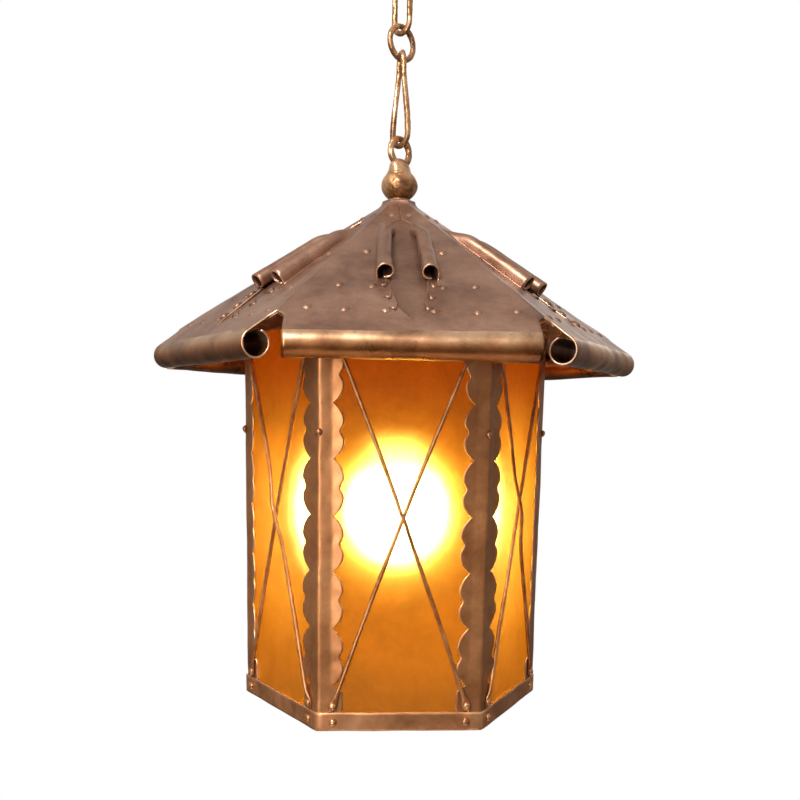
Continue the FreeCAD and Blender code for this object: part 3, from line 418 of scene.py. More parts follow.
def copper(
    name, dark, middle, light, rough=(0.34, 0.50), metal=0.8, hammer=0.30, scale=1.0, seed=0.0, painted_shade=None
):
    """Brown patinated copper: mottled colour, hammer marks, fine grain and uneven gloss."""
    shade = Shader(name)
    mapping = shade.add("ShaderNodeMapping", Vector=shade.place)
    mapping.inputs["Location"].default_value = (seed, seed * 0.7, -seed)
    shade.spot = mapping.outputs["Vector"]
    broad = shade.noise(22 * scale, 5, 0.6, 0.4)
    fine = shade.noise(160 * scale, 6, 0.65)
    specks = shade.noise(620 * scale, 3, 0.6)
    base = shade.ramp(broad, [(0.30, dark), (0.50, middle), (0.72, light)])
    mottled = shade.ramp(fine, [(0.30, 0.84), (0.55, 1.0), (0.75, 1.10)])
    base = shade.mix(0.85, base, mottled, "MULTIPLY")
    speckled = shade.ramp(specks, [(0.62, 0.0), (0.72, 0.55)])
    base = shade.mix(speckled, base, tuple(c * 0.45 for c in dark))
    # painted shade by height: a ramp from low to high multiplied into the colour
    if painted_shade:
        low, high, stops = painted_shade
        base = shade.mix(1.0, base, shade.ramp(shade.height_share(low, high), stops), "MULTIPLY")
    gloss = shade.ramp(shade.noise(60 * scale, 4, 0.6), [(0.32, rough[0]), (0.68, rough[1])])
    normal = shade.bump(shade.cells(105 * scale), hammer, 0.0016)
    normal = shade.bump(fine, 0.14, 0.0005, normal)
    normal = shade.bump(specks, 0.08, 0.0002, normal)
    return shade.principled(Base_Color=base, Roughness=gloss, Metallic=metal, Normal=normal)


def plain_metal(name, colour, rough):
    shade = Shader(name)
    darker = tuple(c * 0.8 for c in colour)
    tone = shade.ramp(shade.noise(METAL_GRAIN / 6, 4), [(0.3, darker), (0.7, colour)])
    gloss = shade.ramp(shade.noise(METAL_GRAIN / 2, 4), [(0.3, rough * 0.8), (0.7, min(1.0, rough * 1.25))])
    normal = shade.bump(shade.noise(METAL_GRAIN, 3), 0.15, 0.0003)
    return shade.principled(Base_Color=tone, Roughness=gloss, Metallic=1.0, Normal=normal)


def matte(name, light, dark, rough, grain=300):
    shade = Shader(name)
    tone = shade.ramp(shade.noise(grain / 8, 5), [(0.35, dark), (0.65, light)])
    normal = shade.bump(shade.noise(grain, 4), 0.2, 0.0003)
    return shade.principled(Base_Color=tone, Roughness=rough, Normal=normal)


# painted light: the mica's brightness and tint from its foot to its head, standing in for how the bulb's
# light falls off over the panes
MICA_PAINTED_GLOW = [
    (0.0, (0.80, 0.80, 0.80)), (0.20, (0.58, 0.58, 0.58)), (0.35, (0.40, 0.40, 0.40)),
    (0.50, (0.36, 0.36, 0.36)), (0.75, (0.56, 0.47, 0.30)), (1.0, (1.0, 0.46, 0.06)),
]


def mica_material():
    """Amber mica: layered flakes that scatter the bulb's light and let a blurred image of it through."""
    shade = Shader("amber_mica")
    clouds = shade.noise(26, 6, 0.62, 0.8)
    flakes = shade.noise(130, 6, 0.65)
    mottle_and_painted_glow = shade.ramp(clouds, [(0.32, 0.80), (0.50, 0.95), (0.68, 1.0)])
    mottle_and_painted_glow = shade.mix(0.6, mottle_and_painted_glow, shade.ramp(flakes, [(0.35, 0.80), (0.62, 1.0)]), "MULTIPLY")
    # painted light by height, multiplied into the flakes' mottle
    painted_glow = shade.ramp(shade.height_share(RIM, RIM + BODY_HEIGHT), MICA_PAINTED_GLOW)
    mottle_and_painted_glow = shade.mix(1.0, mottle_and_painted_glow, painted_glow, "MULTIPLY")
    normal = shade.bump(shade.noise(210, 5, 0.65, 0.4), 0.35, 0.0005)
    lobes = []
    for kind, colour, rough in (
        ("ShaderNodeBsdfRefraction", (0.52, 0.43, 0.11), 0.53),
        ("ShaderNodeBsdfRefraction", (0.14, 0.078, 0.008), 0.90),
        ("ShaderNodeBsdfTranslucent", (0.042, 0.0120, 0.0003), None),
    ):
        lobe = shade.add(kind)
        shade.set(lobe, "Color", shade.mix(1.0, mottle_and_painted_glow, colour, "MULTIPLY"))
        shade.set(lobe, "Normal", normal)
        if rough:
            lobe.distribution = "BECKMANN"
            shade.set(lobe, "IOR", 1.5)
            shade.set(lobe, "Roughness", rough)
        lobes.append(lobe.outputs[0])
    skin = shade.add("ShaderNodeBsdfPrincipled")
    shade.set(skin, "Base Color", shade.mix(1.0, mottle_and_painted_glow, (0.30, 0.12, 0.025), "MULTIPLY"))
    shade.set(skin, "Roughness", 0.45)
    shade.set(skin, "Normal", normal)
    whole = shade.blend(0.5, shade.blend(0.4, lobes[0], lobes[1]), lobes[2])
    whole = shade.blend(0.15, whole, skin.outputs[0])
    # a pane scatters light once, at the side it comes in by
    inside = shade.add("ShaderNodeNewGeometry").outputs["Backfacing"]
    return shade.surface(shade.blend(inside, whole, shade.add("ShaderNodeBsdfTransparent").outputs[0]))


def glow_material(name, colour, strength):
    """A frosted bulb that is lit: brightest in its globe, dimmer towards its base."""
    shade = Shader(name)
    place = shade.height_share(BULB_LOW.z + GLOW_START, BULB_HIGH.z)
    fall = shade.ramp(place, [(0.0, 1.0), (0.35, 0.12), (1.0, 0.02)])
    tint = shade.mix(1.0, fall, colour, "MULTIPLY")
    tint = shade.mix(0.1, tint, shade.ramp(shade.noise(60, 3), [(0.3, 0.8), (0.7, 1.0)]), "MULTIPLY")
    return shade.principled(
        Base_Color=(0.95, 0.93, 0.88, 1), Roughness=0.35, Emission_Color=tint, Emission_Strength=strength
    )


# painted shade and painted reflection on the rolled eave, from its underside to its top: its copper is
# darkened to a deep orange below and left as it is at the top
EAVE_PAINTED_SHADE = [
    (0.0, (0.18, 0.07, 0.02)), (0.40, (0.62, 0.40, 0.23)), (0.70, (0.98, 0.92, 0.84)), (1.0, (1.0, 1.0, 1.0)),
]


def make_materials():
    eave = (EAVE_LEVEL - EAVE_RADIUS, EAVE_LEVEL + EAVE_RADIUS, EAVE_PAINTED_SHADE)
    return {
        "roof": copper("roof_copper", (0.165, 0.084, 0.056), (0.265, 0.146, 0.100), (0.35, 0.208, 0.148)),
        # the eave's golden copper is partly its own tone and partly a painted warm reflection along the roll;
        # its height ramp adds painted shade below
        "eave": copper(
            "eave_copper_painted_shade", (0.17, 0.080, 0.042), (0.54, 0.33, 0.205), (0.72, 0.50, 0.35), (0.24, 0.42),
            metal=0.94, hammer=0.2, seed=5.0, painted_shade=eave,
        ),
        "edge": copper(
            "edge_copper", (0.42, 0.25, 0.15), (0.60, 0.38, 0.25), (0.72, 0.50, 0.34), (0.3, 0.45),
            hammer=0.1,
        ),
        "liner": copper(
            "liner_copper", (0.13, 0.066, 0.044), (0.20, 0.108, 0.073), (0.25, 0.142, 0.10), seed=3.0,
        ),
        "forged": copper(
            "forged_copper", (0.12, 0.050, 0.020), (0.40, 0.21, 0.098), (0.66, 0.42, 0.26), (0.26, 0.44),
            hammer=0.5, scale=2.2,
        ),
        "angle": copper(
            "angle_copper", (0.25, 0.098, 0.036), (0.36, 0.155, 0.062), (0.47, 0.23, 0.10),
            hammer=0.18, seed=1.3,
        ),
        "band": copper(
            "band_copper", (0.24, 0.100, 0.042), (0.46, 0.21, 0.095), (0.62, 0.34, 0.18), hammer=0.3,
            seed=2.1,
        ),
        "rod": copper(
            "rod_copper", (0.20, 0.076, 0.028), (0.36, 0.155, 0.062), (0.54, 0.28, 0.13),
            (0.30, 0.45), scale=2.5,
        ),
        "rivet": copper(
            "rivet_copper", (0.24, 0.098, 0.045), (0.42, 0.195, 0.09), (0.62, 0.35, 0.18),
            (0.28, 0.42), scale=3,
        ),
        "mica": mica_material(),
        "steel": plain_metal("plain_steel", (0.42, 0.40, 0.37), 0.45),
        "brass": plain_metal("lamp_brass", (0.72, 0.52, 0.24), 0.32),
        "porcelain": matte("porcelain", (0.86, 0.84, 0.79), (0.80, 0.78, 0.73), 0.25),
        "fibre": matte("sleeve_fibre", (0.26, 0.18, 0.12), (0.20, 0.13, 0.08), 0.8),
        "bulb": glow_material("lit_bulb", (1.0, 0.88, 0.70), 1350.0),
    }


MATERIALS = make_materials()

# ---- roof


def turn(point, azimuth):
    angle = math.radians(azimuth)
    x, y, z = point
    return Vector((x * math.cos(angle) - y * math.sin(angle), x * math.sin(angle) + y * math.cos(angle), z))


def slope_point(apothem, across, lift=0.0):
    """A point of the sheet's middle surface on the plane of a face that looks along +X."""
    base = Vector((apothem, across, ROOF_PEAK - math.tan(ROOF_SLOPE) * apothem))
    return base + SLOPE_NORMAL * (lift - SHEET / 2)


def roof_rows():
    """The rows of a panel from the neck to the free edge of the roll: (kind, position)."""
    stops = [
        NECK_APOTHEM + NECK_BEND, SLIT_FORK, CURL_START, CURL_FULL, CURL_END, VEE_TURN, VEE_LOW, SLOPE_END,
    ]
    rows = [("neck", share) for share in (0.0, 0.2, 0.4, 0.6, 0.8)]
    for low, high in zip(stops, stops[1:]):
        count = max(2, round((high - low) / ROW_STEP))
        rows += [("slope", low + (high - low) * k / count) for k in range(count)]
    rows += [("roll", EAVE_ROLL * k / ROLL_ROWS) for k in range(ROLL_ROWS + 1)]
    return rows


def row_apothem(kind, place):
    if kind == "neck":
        return NECK_APOTHEM + NECK_BEND * place * place
    return place if kind == "slope" else ROLL_APOTHEM


def row_point(kind, place, across):
    if kind == "slope":
        return slope_point(place, across)
    if kind == "roll":
        angle = math.pi / 2 - ROOF_SLOPE - place
        reach = EAVE_RADIUS - SHEET / 2 - 0.5 * MM * smooth_step(place, EAVE_ROLL * 0.7, EAVE_ROLL)
        return Vector((
            EAVE_APOTHEM + reach * math.cos(angle),
            across,
            EAVE_LEVEL + reach * math.sin(angle),
        ))
    # the neck turns from upright into the slope over a soft bend
    top = Vector((NECK_APOTHEM - SHEET / 2, across, NECK_TOP))
    bend = Vector((NECK_APOTHEM - SHEET / 2, across, slope_point(NECK_APOTHEM, 0).z))
    foot = slope_point(NECK_APOTHEM + NECK_BEND, across)
    return top * (1 - place) ** 2 + bend * (2 * place * (1 - place)) + foot * place ** 2


def hip_half(kind, place):
    """Half the width of the panel at a row."""
    apothem = row_apothem(kind, place)
    hip_end = EAVE_APOTHEM - HIP_SETBACK
    hip_end_half = hip_end * HEX_TAN
    cut = hip_end + (hip_end_half - EAVE_HALF)
    if apothem <= hip_end:
        return apothem * HEX_TAN
    if apothem <= cut:
        share = (apothem - hip_end) / (cut - hip_end)
        return hip_end_half + (EAVE_HALF - hip_end_half) * math.sin(share * math.pi / 2)
    return EAVE_HALF


def split_half(apothem):
    """Where the flap of the curl leaves the sheet, and the line that goes on below it."""
    return track(apothem, [
        (NECK_APOTHEM, NECK_SPLIT_HALF), (CURL_START, SLIT_HALF + 2 * CURL_START_RADIUS),
        (CURL_END, WAIST_HALF + 2 * CURL_RADIUS), (VEE_TURN, VEE_SPLIT_HALF), (VEE_LOW, EAVE_SPLIT_HALF),
    ])


def slit_half(apothem):
    return track(apothem, [
        (SLIT_START, 0), (SLIT_START + MM, SLIT_CRACK), (SLIT_FORK, SLIT_CRACK), (CURL_START, SLIT_HALF),
        (CURL_END, WAIST_HALF),
    ])


def vee_half(apothem):
    return track(apothem, [(CURL_END, VEE_HALF), (VEE_TURN, VEE_TURN_HALF), (VEE_LOW, 0)])


def flap_row(apothem, columns):
    """The flap's section: (shift towards the slit, height) from its bend line to its free edge."""
    grown = smooth_step(apothem, CURL_START - CURL_LEAD, CURL_FULL)
    radius = track(apothem, [(CURL_START, CURL_START_RADIUS), (CURL_END, CURL_RADIUS)])
    flat = split_half(apothem) - slit_half(apothem)
    leg = radius * CURL_LEG
    rolled = leg + radius * CURL_ROLL
    length = flat + (rolled - flat) * grown
    spots = [(0.0, 0.0)]
    x = z = 0.0
    steps = 4
    total = columns * steps
    for k in range(total):
        share = (k + 0.5) / total
        after = max(0.0, (share * rolled - leg) / (rolled - leg))
        heading = grown * (CURL_RISE - (CURL_ROLL + CURL_OVERRUN) * after ** CURL_TIGHTENING)
        x += math.cos(heading) * length / total
        z += math.sin(heading) * length / total
        if (k + 1) % steps == 0:
            spots.append((x, z))
    return spots


def across_row(kind, place, side, start, end, columns):
    """One row of points from one distance off the face's middle to another."""
    return [
        row_point(kind, place, side * (start + (end - start) * k / columns)) for k in range(columns + 1)
    ]


def panel_grids(side):
    """The three grids of one half of a panel: beside the slit, the flap, and below the curl."""
    outer, flap, low = [], [], []
    for kind, place in roof_rows():
        apothem = row_apothem(kind, place)
        edge = hip_half(kind, place)
        split = min(split_half(apothem), edge * 0.72)
        outer.append(across_row(kind, place, side, edge, split, OUTER_COLUMNS))
        if kind == "neck" or apothem < CURL_START - CURL_LEAD:
            inner = slit_half(apothem) if kind == "slope" else 0.0
            flap.append(across_row(kind, place, side, split, inner, FLAP_COLUMNS))
        elif apothem <= CURL_END + 1e-9:
            flap.append([
                slope_point(apothem, side * (split - shift), lift)
                for shift, lift in flap_row(apothem, FLAP_COLUMNS)
            ])
        if apothem >= CURL_END - 1e-9:
            inner = vee_half(apothem) if kind == "slope" and apothem < VEE_LOW else 0.0
            low.append(across_row(kind, place, side, split, inner, LOW_COLUMNS))
    return outer, flap, low


def dome(patch, centre, normal, radius, rise, seed):
    """A low hammered rivet head that stands on a surface."""
    normal = Vector(normal).normalized()
    side = normal.orthogonal().normalized()
    ways = spoke_ways(side, normal.cross(side), RIVET_SPOKES)
    rows = []
    for ring in range(RIVET_RINGS + 1):
        angle = math.pi / 2 * ring / RIVET_RINGS
        reach = radius * math.cos(angle)
        height = rise * math.sin(angle) ** 0.9 if ring else -RIVET_SINK
        spots = [centre + way * reach + normal * height for way in ways]
        rows.append([spot + wobble(spot, 2.2 * MM, 0.14 * radius, seed) for spot in spots])
    # the last ring closes in on the tip
    tip = centre + normal * (rise * 0.985)
    rows[-1] = [tip + (spot - centre - normal * rise) * 0.25 for spot in rows[-1]]
    start = len(patch.verts)
    patch.grid(rows, wrap_columns=True)
    patch.cap(centre + normal * rise, start + RIVET_RINGS * RIVET_SPOKES, RIVET_SPOKES)
    patch.cap(centre - normal * RIVET_SINK, start, RIVET_SPOKES, flip=True)


def stud(patch, centre, seed):
    """A stud punched from behind: the sheet swells softly round it."""
    side = SLOPE_NORMAL.orthogonal().normalized()
    ways = spoke_ways(side, SLOPE_NORMAL.cross(side), STUD_SPOKES)
    rows = []
    for ring in range(STUD_RINGS):
        share = 1 - ring / STUD_RINGS
        height = STUD_RISE * (0.5 + 0.5 * math.cos(math.pi * share)) ** 0.6 - 0.12 * MM * share
        row = []
        for way in ways:
            uneven = 1 + 0.22 * noise.noise(Vector((way.x * 1.3 + seed, way.y * 1.3, way.z * 1.3)))
            row.append(centre + way * STUD_RADIUS * share * uneven + SLOPE_NORMAL * height)
        rows.append(row)
    start = len(patch.verts)
    patch.grid(rows, wrap_columns=True)
    patch.cap(centre + SLOPE_NORMAL * STUD_RISE, start + (STUD_RINGS - 1) * STUD_SPOKES, STUD_SPOKES)
    patch.cap(centre - SLOPE_NORMAL * 0.2 * MM, start, STUD_SPOKES, flip=True)


def tab(patch, apothem, across, side):
    """A small chisel-raised tab beside the vee."""
    spot = slope_point(apothem, side * (across + 2.9 * MM), SHEET / 2)
    normal, down, out = SLOPE_NORMAL, SLOPE_DOWN, Vector((0, side, 0))
    low = -0.3 * MM
    corners = [
        spot - down * 4.0 * MM - out * 2.6 * MM + normal * low,
        spot + down * 4.2 * MM - out * 1.2 * MM + normal * low,
        spot + down * 0.6 * MM + out * 4.2 * MM + normal * low,
        spot - down * 1.9 * MM - out * 2.1 * MM + normal * 1.9 * MM,
        spot + down * 2.9 * MM - out * 0.9 * MM + normal * 1.6 * MM,
        spot + down * 0.5 * MM + out * 2.6 * MM + normal * 0.4 * MM,
    ]
    start = len(patch.verts)
    patch.verts.extend(corners)
    faces = [(0, 2, 1), (3, 4, 5), (0, 1, 4, 3), (1, 2, 5, 4), (2, 0, 3, 5)]
    if side < 0:
        faces = [tuple(reversed(face)) for face in faces]
    patch.faces.extend(tuple(start + k for k in face) for face in faces)


def roof_field(point):
    """How the hand-made roof strays from its drawing; the same field for all panels, so hips meet."""
    return wobble(point, 60 * MM, 1.0 * MM, 4.0) + wobble(point, 17 * MM, 0.32 * MM, 9.0)


def paint_panel(panel, azimuth):
    """Put the rolled eave on its golden copper, which carries painted shade and painted reflection, and make
    the edges at a ridge as dull as the slope.
    """
    way, aside = level_ways(math.radians(azimuth))
    for polygon in panel.data.polygons:
        apothem = polygon.center.dot(way)
        across = abs(polygon.center.dot(aside))
        at_ridge = apothem < EAVE_APOTHEM - HIP_SETBACK and across > apothem * HEX_TAN - 2 * MM
        if polygon.material_index == 1 and at_ridge:
            polygon.material_index = 0
        if polygon.material_index == 0 and apothem > EAVE_APOTHEM - EAVE_RADIUS:
            if apothem > SLOPE_END - 1 * MM or polygon.center.z < EAVE_LEVEL + 3 * MM:
                polygon.material_index = 2


def make_roof_panel(index):
    azimuth = 30 + 60 * index
    sheet = Patchwork()
    for side in (1, -1):
        for grid in panel_grids(side):
            sheet.grid(grid, flip=side > 0)
    verts = [turn(v, azimuth) for v in sheet.verts]
    panel = new_object(f"roof_panel_sheet_{index + 1}", [v + roof_field(v) for v in verts], sheet.faces)
    weld(panel)
    thicken(panel, SHEET * 0.92, "roof", "edge", "eave")
    paint_panel(panel, azimuth)
    details = Patchwork()
    for row, offsets in STUDS:
        for offset in offsets:
            for side in (1, -1):
                spot = slope_point(row * MM, side * offset * MM, SHEET / 2)
                shift = wobble(turn(spot, azimuth), 20 * MM, 3.2 * MM, 2.0)
                spot += Vector((0, shift.y, 0)) + SLOPE_DOWN * shift.x
                stud(details, spot, azimuth + offset)
    for apothem, across in TABS:
        for side in (1, -1):
            tab(details, apothem * MM, across * MM, side)
    spots = [turn(v, azimuth) for v in details.verts]
    join(panel, new_object(f"roof_bumps_{index + 1}", [v + roof_field(v) for v in spots], details.faces))
    finish_piece(panel, [f"roof_panel_{index + 1}"], "lantern", "roof_copper", "roof", "edge", "eave")


def join(target, other):
    """Join a mesh into the first, keeping material indices."""
    mesh = bmesh.new()
    mesh.from_mesh(target.data)
    mesh.from_mesh(other.data)
    bpy.data.objects.remove(other)
    mesh.to_mesh(target.data)
    mesh.free()
    target.data.update()


# ---- body


def ridge_radius(height):
    return RIDGE_RADIUS + RIDGE_FLARE * height / BODY_HEIGHT


def face_axes(azimuth):
    """The directions along a face and out of it."""
    angle = math.radians(azimuth)
    level = math.cos(FACE_TILT)
    out = Vector((math.cos(angle) * level, math.sin(angle) * level, -math.sin(FACE_TILT)))
    return level_ways(angle)[1], out


def face_point(azimuth, along, height, out=0.0):
    """A point by its offset along a face, its height above the rim and its distance off the face."""
    angle = math.radians(azimuth)
    tangent, normal = face_axes(azimuth)
    apothem = ridge_radius(height) * HEX_COS
    foot = Vector((apothem * math.cos(angle), apothem * math.sin(angle), RIM + height))
    return foot + tangent * along + normal * out


def inset(height, distance, side):
    return side * (ridge_radius(height) / 2 - distance)


def wing_edge(height):
    """Width of a wing: plain foot and head, and six double lobes between pointed notches."""
    if height <= FOOT:
        return NOTCH + (WING - NOTCH) * min(1.0, (FOOT - height) / WING_CHAMFER)
    if height >= WING_TOP:
        return NOTCH + (WING - NOTCH) * min(1.0, (height - WING_TOP) / WING_CHAMFER)
    share = ((height - FOOT) / LOBE_PITCH) % 1.0
    full = 1 - abs(2 * share - 1) ** 3.2
    dip = math.exp(-((share - 0.5) / 0.105) ** 2)
    return NOTCH + (LOBE - NOTCH) * full - (LOBE - DIP) * dip


def wing_rows():
    rows = [FOOT * k / 12 for k in range(12)]
    for pair in range(LOBE_PAIRS):
        rows += [FOOT + LOBE_PITCH * (pair + k / 26) for k in range(26)]
    return rows + [WING_TOP + HEAD * k / 11 for k in range(12)]


def make_corner_angle(index):
    corner = 60 * index
    ridge_way = level_ways(math.radians(corner))[0]
    rows = []
    for height in wing_rows():
        edge = wing_edge(height)
        flare = smooth_step(height, FOOT - 6 * MM, FOOT + 8 * MM)
        flare *= 1 - smooth_step(height, WING_TOP - 8 * MM, WING_TOP + 6 * MM)
        row = []
        for k in range(-WING_COLUMNS, WING_COLUMNS + 1):
            side = 1 if k >= 0 else -1
            width = edge * (abs(k) / WING_COLUMNS) ** 0.9
            beyond = max(0.0, width - FLARE_LINE)
            bend = beyond * beyond / (beyond + FLARE_BEND) * math.tan(FLARE_ANGLE) * flare
            spot = face_point(corner + 30 * side, inset(height, width, -side), height, bend - SHEET / 2)
            if width < RIDGE_BEND:
                # the ridge is bent round a stake, not folded sharp
                spot -= ridge_way * (RIDGE_ROUNDING * (1 - width / RIDGE_BEND) ** 2)
            row.append(spot + wobble(spot, 34 * MM, 0.45 * MM, 6.0) + wobble(spot, 9 * MM, 0.13 * MM, 2.0))
        rows.append(row)
    sheet = Patchwork()
    sheet.grid(rows, flip=True)
    angle = sheet.make(f"corner_angle_sheet_{index + 1}")
    thicken(angle, SHEET, "angle", "edge")
    finish_piece(angle, [f"corner_angle_{index + 1}"], "lantern", "body_copper", "angle", "edge")


def make_band(name, low, high):
    """A band round the six faces, with softly bent corners and a slightly uneven edge."""
    rows = []
    for height in [low + (high - low) * k / 7 for k in range(8)]:
        row = []
        for face in range(SIDES):
            azimuth = 30 + 60 * face
            half = ridge_radius(height) / 2 + BAND_SHEET / 2 / HEX_COS * math.sin(math.radians(30))
            for k in range(BAND_STEPS):
                share = 2 * k / BAND_STEPS - 1
                along = half * share
                spot = face_point(azimuth, along, height, BAND_SHEET / 2 + 0.05 * MM)
                near = max(0.0, 1 - (half - abs(along)) / BAND_CORNER)
                radial = Vector((spot.x, spot.y, 0)).normalized()
                spot -= radial * BAND_ROUNDING * near * near
                edge = 0.28 * MM * (height - (low + high) / 2) / (high - low)
                spot.z += dent((spot.x, spot.y, 0), 30 * MM, 1.0, 3.0) * edge
                row.append(spot + wobble(spot, 22 * MM, 0.26 * MM, 8.0))
        rows.append(row)
    sheet = Patchwork()
    sheet.grid(rows, wrap_columns=True)
    band = sheet.make(name + "_strip")
    thicken(band, BAND_SHEET, "band", "edge")
    finish_piece(band, [name], "lantern", "body_copper", "band", "edge")


# ---- swept bars


def frames_along(path, closed, start_normal=None):
    """Tangents and a rotation-minimising pair of normals along a list of points."""
    count = len(path)
    tangents = []
    for k in range(count):
        before = path[(k - 1) % count] if closed or k else path[k]
        after = path[(k + 1) % count] if closed or k < count - 1 else path[k]
        tangents.append((after - before).normalized())
    normal = start_normal or tangents[0].orthogonal()
    normals = []
    for tangent in tangents:
        normal = (normal - tangent * normal.dot(tangent)).normalized()
        normals.append(normal)
    return tangents, normals


def sweep(patch, path, section, closed=False, spokes=16, start_normal=None):
    """Sweep a section along a path; section(share, angle) gives (reach along normal, reach across it)."""
    path = [Vector(p) for p in path]
    tangents, normals = frames_along(path, closed, start_normal)
    rows = []
    count = len(path)
    for k, (spot, tangent, normal) in enumerate(zip(path, tangents, normals)):
        across = tangent.cross(normal)
        share = k / count if closed else k / (count - 1)
        row = []
        for spoke in range(spokes):
            angle = 2 * math.pi * spoke / spokes
            a, b = section(share, angle)
            row.append(spot + normal * a + across * b)
        rows.append(row)
    start = len(patch.verts)
    patch.grid(rows, wrap_rows=closed, wrap_columns=True)
    if not closed:
        patch.cap(path[0], start, spokes, flip=True)
        patch.cap(path[-1], start + (count - 1) * spokes, spokes)


def forged_section(radius, square=0.35, seed=0.0):
    """A hammered round bar: a little squared and never quite the same size."""

    def section(share, angle):
        turned = 2 * math.pi * share
        corner = 1 + square * 0.18 * math.cos(4 * angle + 5 * math.sin(turned))
        lumps = noise.noise(Vector((math.cos(turned) * 9, math.sin(turned) * 9, angle * 0.8 + seed)))
        reach = radius * corner * (1 + 0.09 * lumps)
        return reach * math.cos(angle), reach * math.sin(angle)

    return section


def link_path(high_wire, yaw, twist):
    """Centre line of a long link, crown to heel and back, twisted between them."""
    half = LINK_WIDTH / 2
    rise = (LINK_SPAN - LINK_WIDTH) / 2
    centre = high_wire - LINK_SPAN / 2
    leg = 2 * rise
    bend = math.pi * half
    total = 2 * (leg + bend)
    path = []
    for k in range(LINK_POINTS):
        run = total * k / LINK_POINTS
        if run < bend:
            angle = math.pi - run / half
            x, z = half * math.cos(angle), rise + half * math.sin(angle)
        elif run < bend + leg:
            x, z = half, rise - (run - bend)
        elif run < 2 * bend + leg:
            angle = -(run - bend - leg) / half
            x, z = half * math.cos(angle), -rise + half * math.sin(angle)
        else:
            x, z = -half, -rise + (run - 2 * bend - leg)
        eased = smooth_step(-z, -rise, rise)
        angle = math.radians(yaw + twist * eased)
        path.append(Vector((x * math.cos(angle), x * math.sin(angle), centre + z)))
    return path


def ring_path(centre, radius, yaw):
    way = level_ways(math.radians(yaw))[0]
    path = []
    for k in range(RING_POINTS):
        angle = 2 * math.pi * k / RING_POINTS
        path.append(centre + way * radius * math.cos(angle) + Vector((0, 0, radius * math.sin(angle))))
    return path


def make_chain():
    top, lower = TOP_LINK_HIGH.z - BAR_RADIUS, LOWER_LINK_HIGH.z - BAR_RADIUS
    centre = Vector((0, 0, (RING_LOW.z + RING_HIGH.z) / 2))
    for name, path, seed in (
        ("top_link", link_path(top, TOP_LINK_YAW, 0), 1.0),
        ("lower_link", link_path(lower, LOWER_LINK_YAW, LOWER_LINK_TWIST), 5.0),
        ("ring_link", ring_path(centre, RING_SPAN / 2, RING_YAW), 3.0),
    ):
        patch = Patchwork()
        sweep(patch, path, forged_section(BAR_RADIUS * 0.97, seed=seed), closed=True, spokes=20)
        finish_piece(patch.make(name + "_forging"), [name], name, "forged_copper", "forged")


# ---- finial


def lathe(patch, profile, spokes, dent_size=0.0, dent_scale=MM, seed=0.0):
    """Revolve (radius, height) pairs about the vertical, ends closed."""
    rows = []
    for radius, height in profile:
        row = []
        for spoke in range(spokes):
            angle = 2 * math.pi * spoke / spokes
            outward = level_ways(angle)[0]
            spot = Vector((radius * math.cos(angle), radius * math.sin(angle), height))
            row.append(spot + outward * dent(spot, dent_scale, dent_size, seed) if dent_size else spot)
        rows.append(row)
    start = len(patch.verts)
    patch.grid(rows, wrap_columns=True)
    patch.cap(Vector((0, 0, profile[0][1])), start, spokes, flip=True)
    patch.cap(Vector((0, 0, profile[-1][1])), start + (len(profile) - 1) * spokes, spokes)


def make_finial():
    half = (BALL_HIGH.x - BALL_LOW.x) / 2
    top = BALL_HIGH.z
    half_height = 25 * MM / 2
    centre = top - half_height
    low = math.asin((BALL_LOW.z - centre) / half_height)
    profile = []
    steps = 30
    for k in range(steps + 1):
        angle = low + (math.pi / 2 - 0.16 - low) * k / steps
        profile.append((half * math.cos(angle), centre + half_height * math.sin(angle)))
    patch = Patchwork()
    lathe(patch, profile, 56, dent_size=0.55 * MM, dent_scale=8 * MM, seed=2.0)
    finish_piece(patch.make("finial_ball_forging"), ["finial_ball"], "lantern", "forged_copper", "forged")

    patch = Patchwork()
    eye_centre = Vector((0, 0, EYE_HIGH.z - EYE_BAR / 2 - EYE_SPAN / 2))
    bar = forged_section(EYE_BAR / 2, 0.5, seed=7.0)
    sweep(patch, ring_path(eye_centre, EYE_SPAN / 2, EYE_YAW), bar, closed=True, spokes=22)
    bar_low = eye_centre.z - EYE_SPAN / 2
    wide_way, deep_way = level_ways(math.radians(EYE_YAW))
    spokes = 36
    levels = [(wide, deep, top + rise * MM) for wide, deep, rise in NECK_ON_BALL]
    levels += [(wide, deep, bar_low + rise * MM) for wide, deep, rise in NECK_ON_BAR]
    rows = []
    for wide, deep, height in levels:
        row = []
        for reach in spoke_ways(wide_way * wide, deep_way * deep, spokes):
            spot = reach * MM + Vector((0, 0, height))
            row.append(spot + reach.normalized() * dent(spot, 4 * MM, 0.35 * MM))
        rows.append(row)
    start = len(patch.verts)
    patch.grid(rows, wrap_columns=True)
    patch.cap(Vector((0, 0, levels[0][2])), start, spokes, flip=True)
    patch.cap(Vector((0, 0, bar_low + NECK_TIP)), start + (len(rows) - 1) * spokes, spokes)
    lathe(patch, [(2.9 * MM, EYE_LOW.z), (3.0 * MM, EYE_LOW.z + 1 * MM), (3.0 * MM, top)], 24)
    finish_piece(patch.make("finial_eye_forging"), ["finial_eye"], "lantern", "forged_copper", "forged")


# ---- rods and rivets


def rod_ends(lean):
    top = BODY_HEIGHT - ROD_HEAD_DROP
    foot = (inset(ROD_FOOT, ROD_FOOT_INSET, -lean), ROD_FOOT)
    head = (inset(top, ROD_HEAD_INSET, lean), top)
    return foot, head


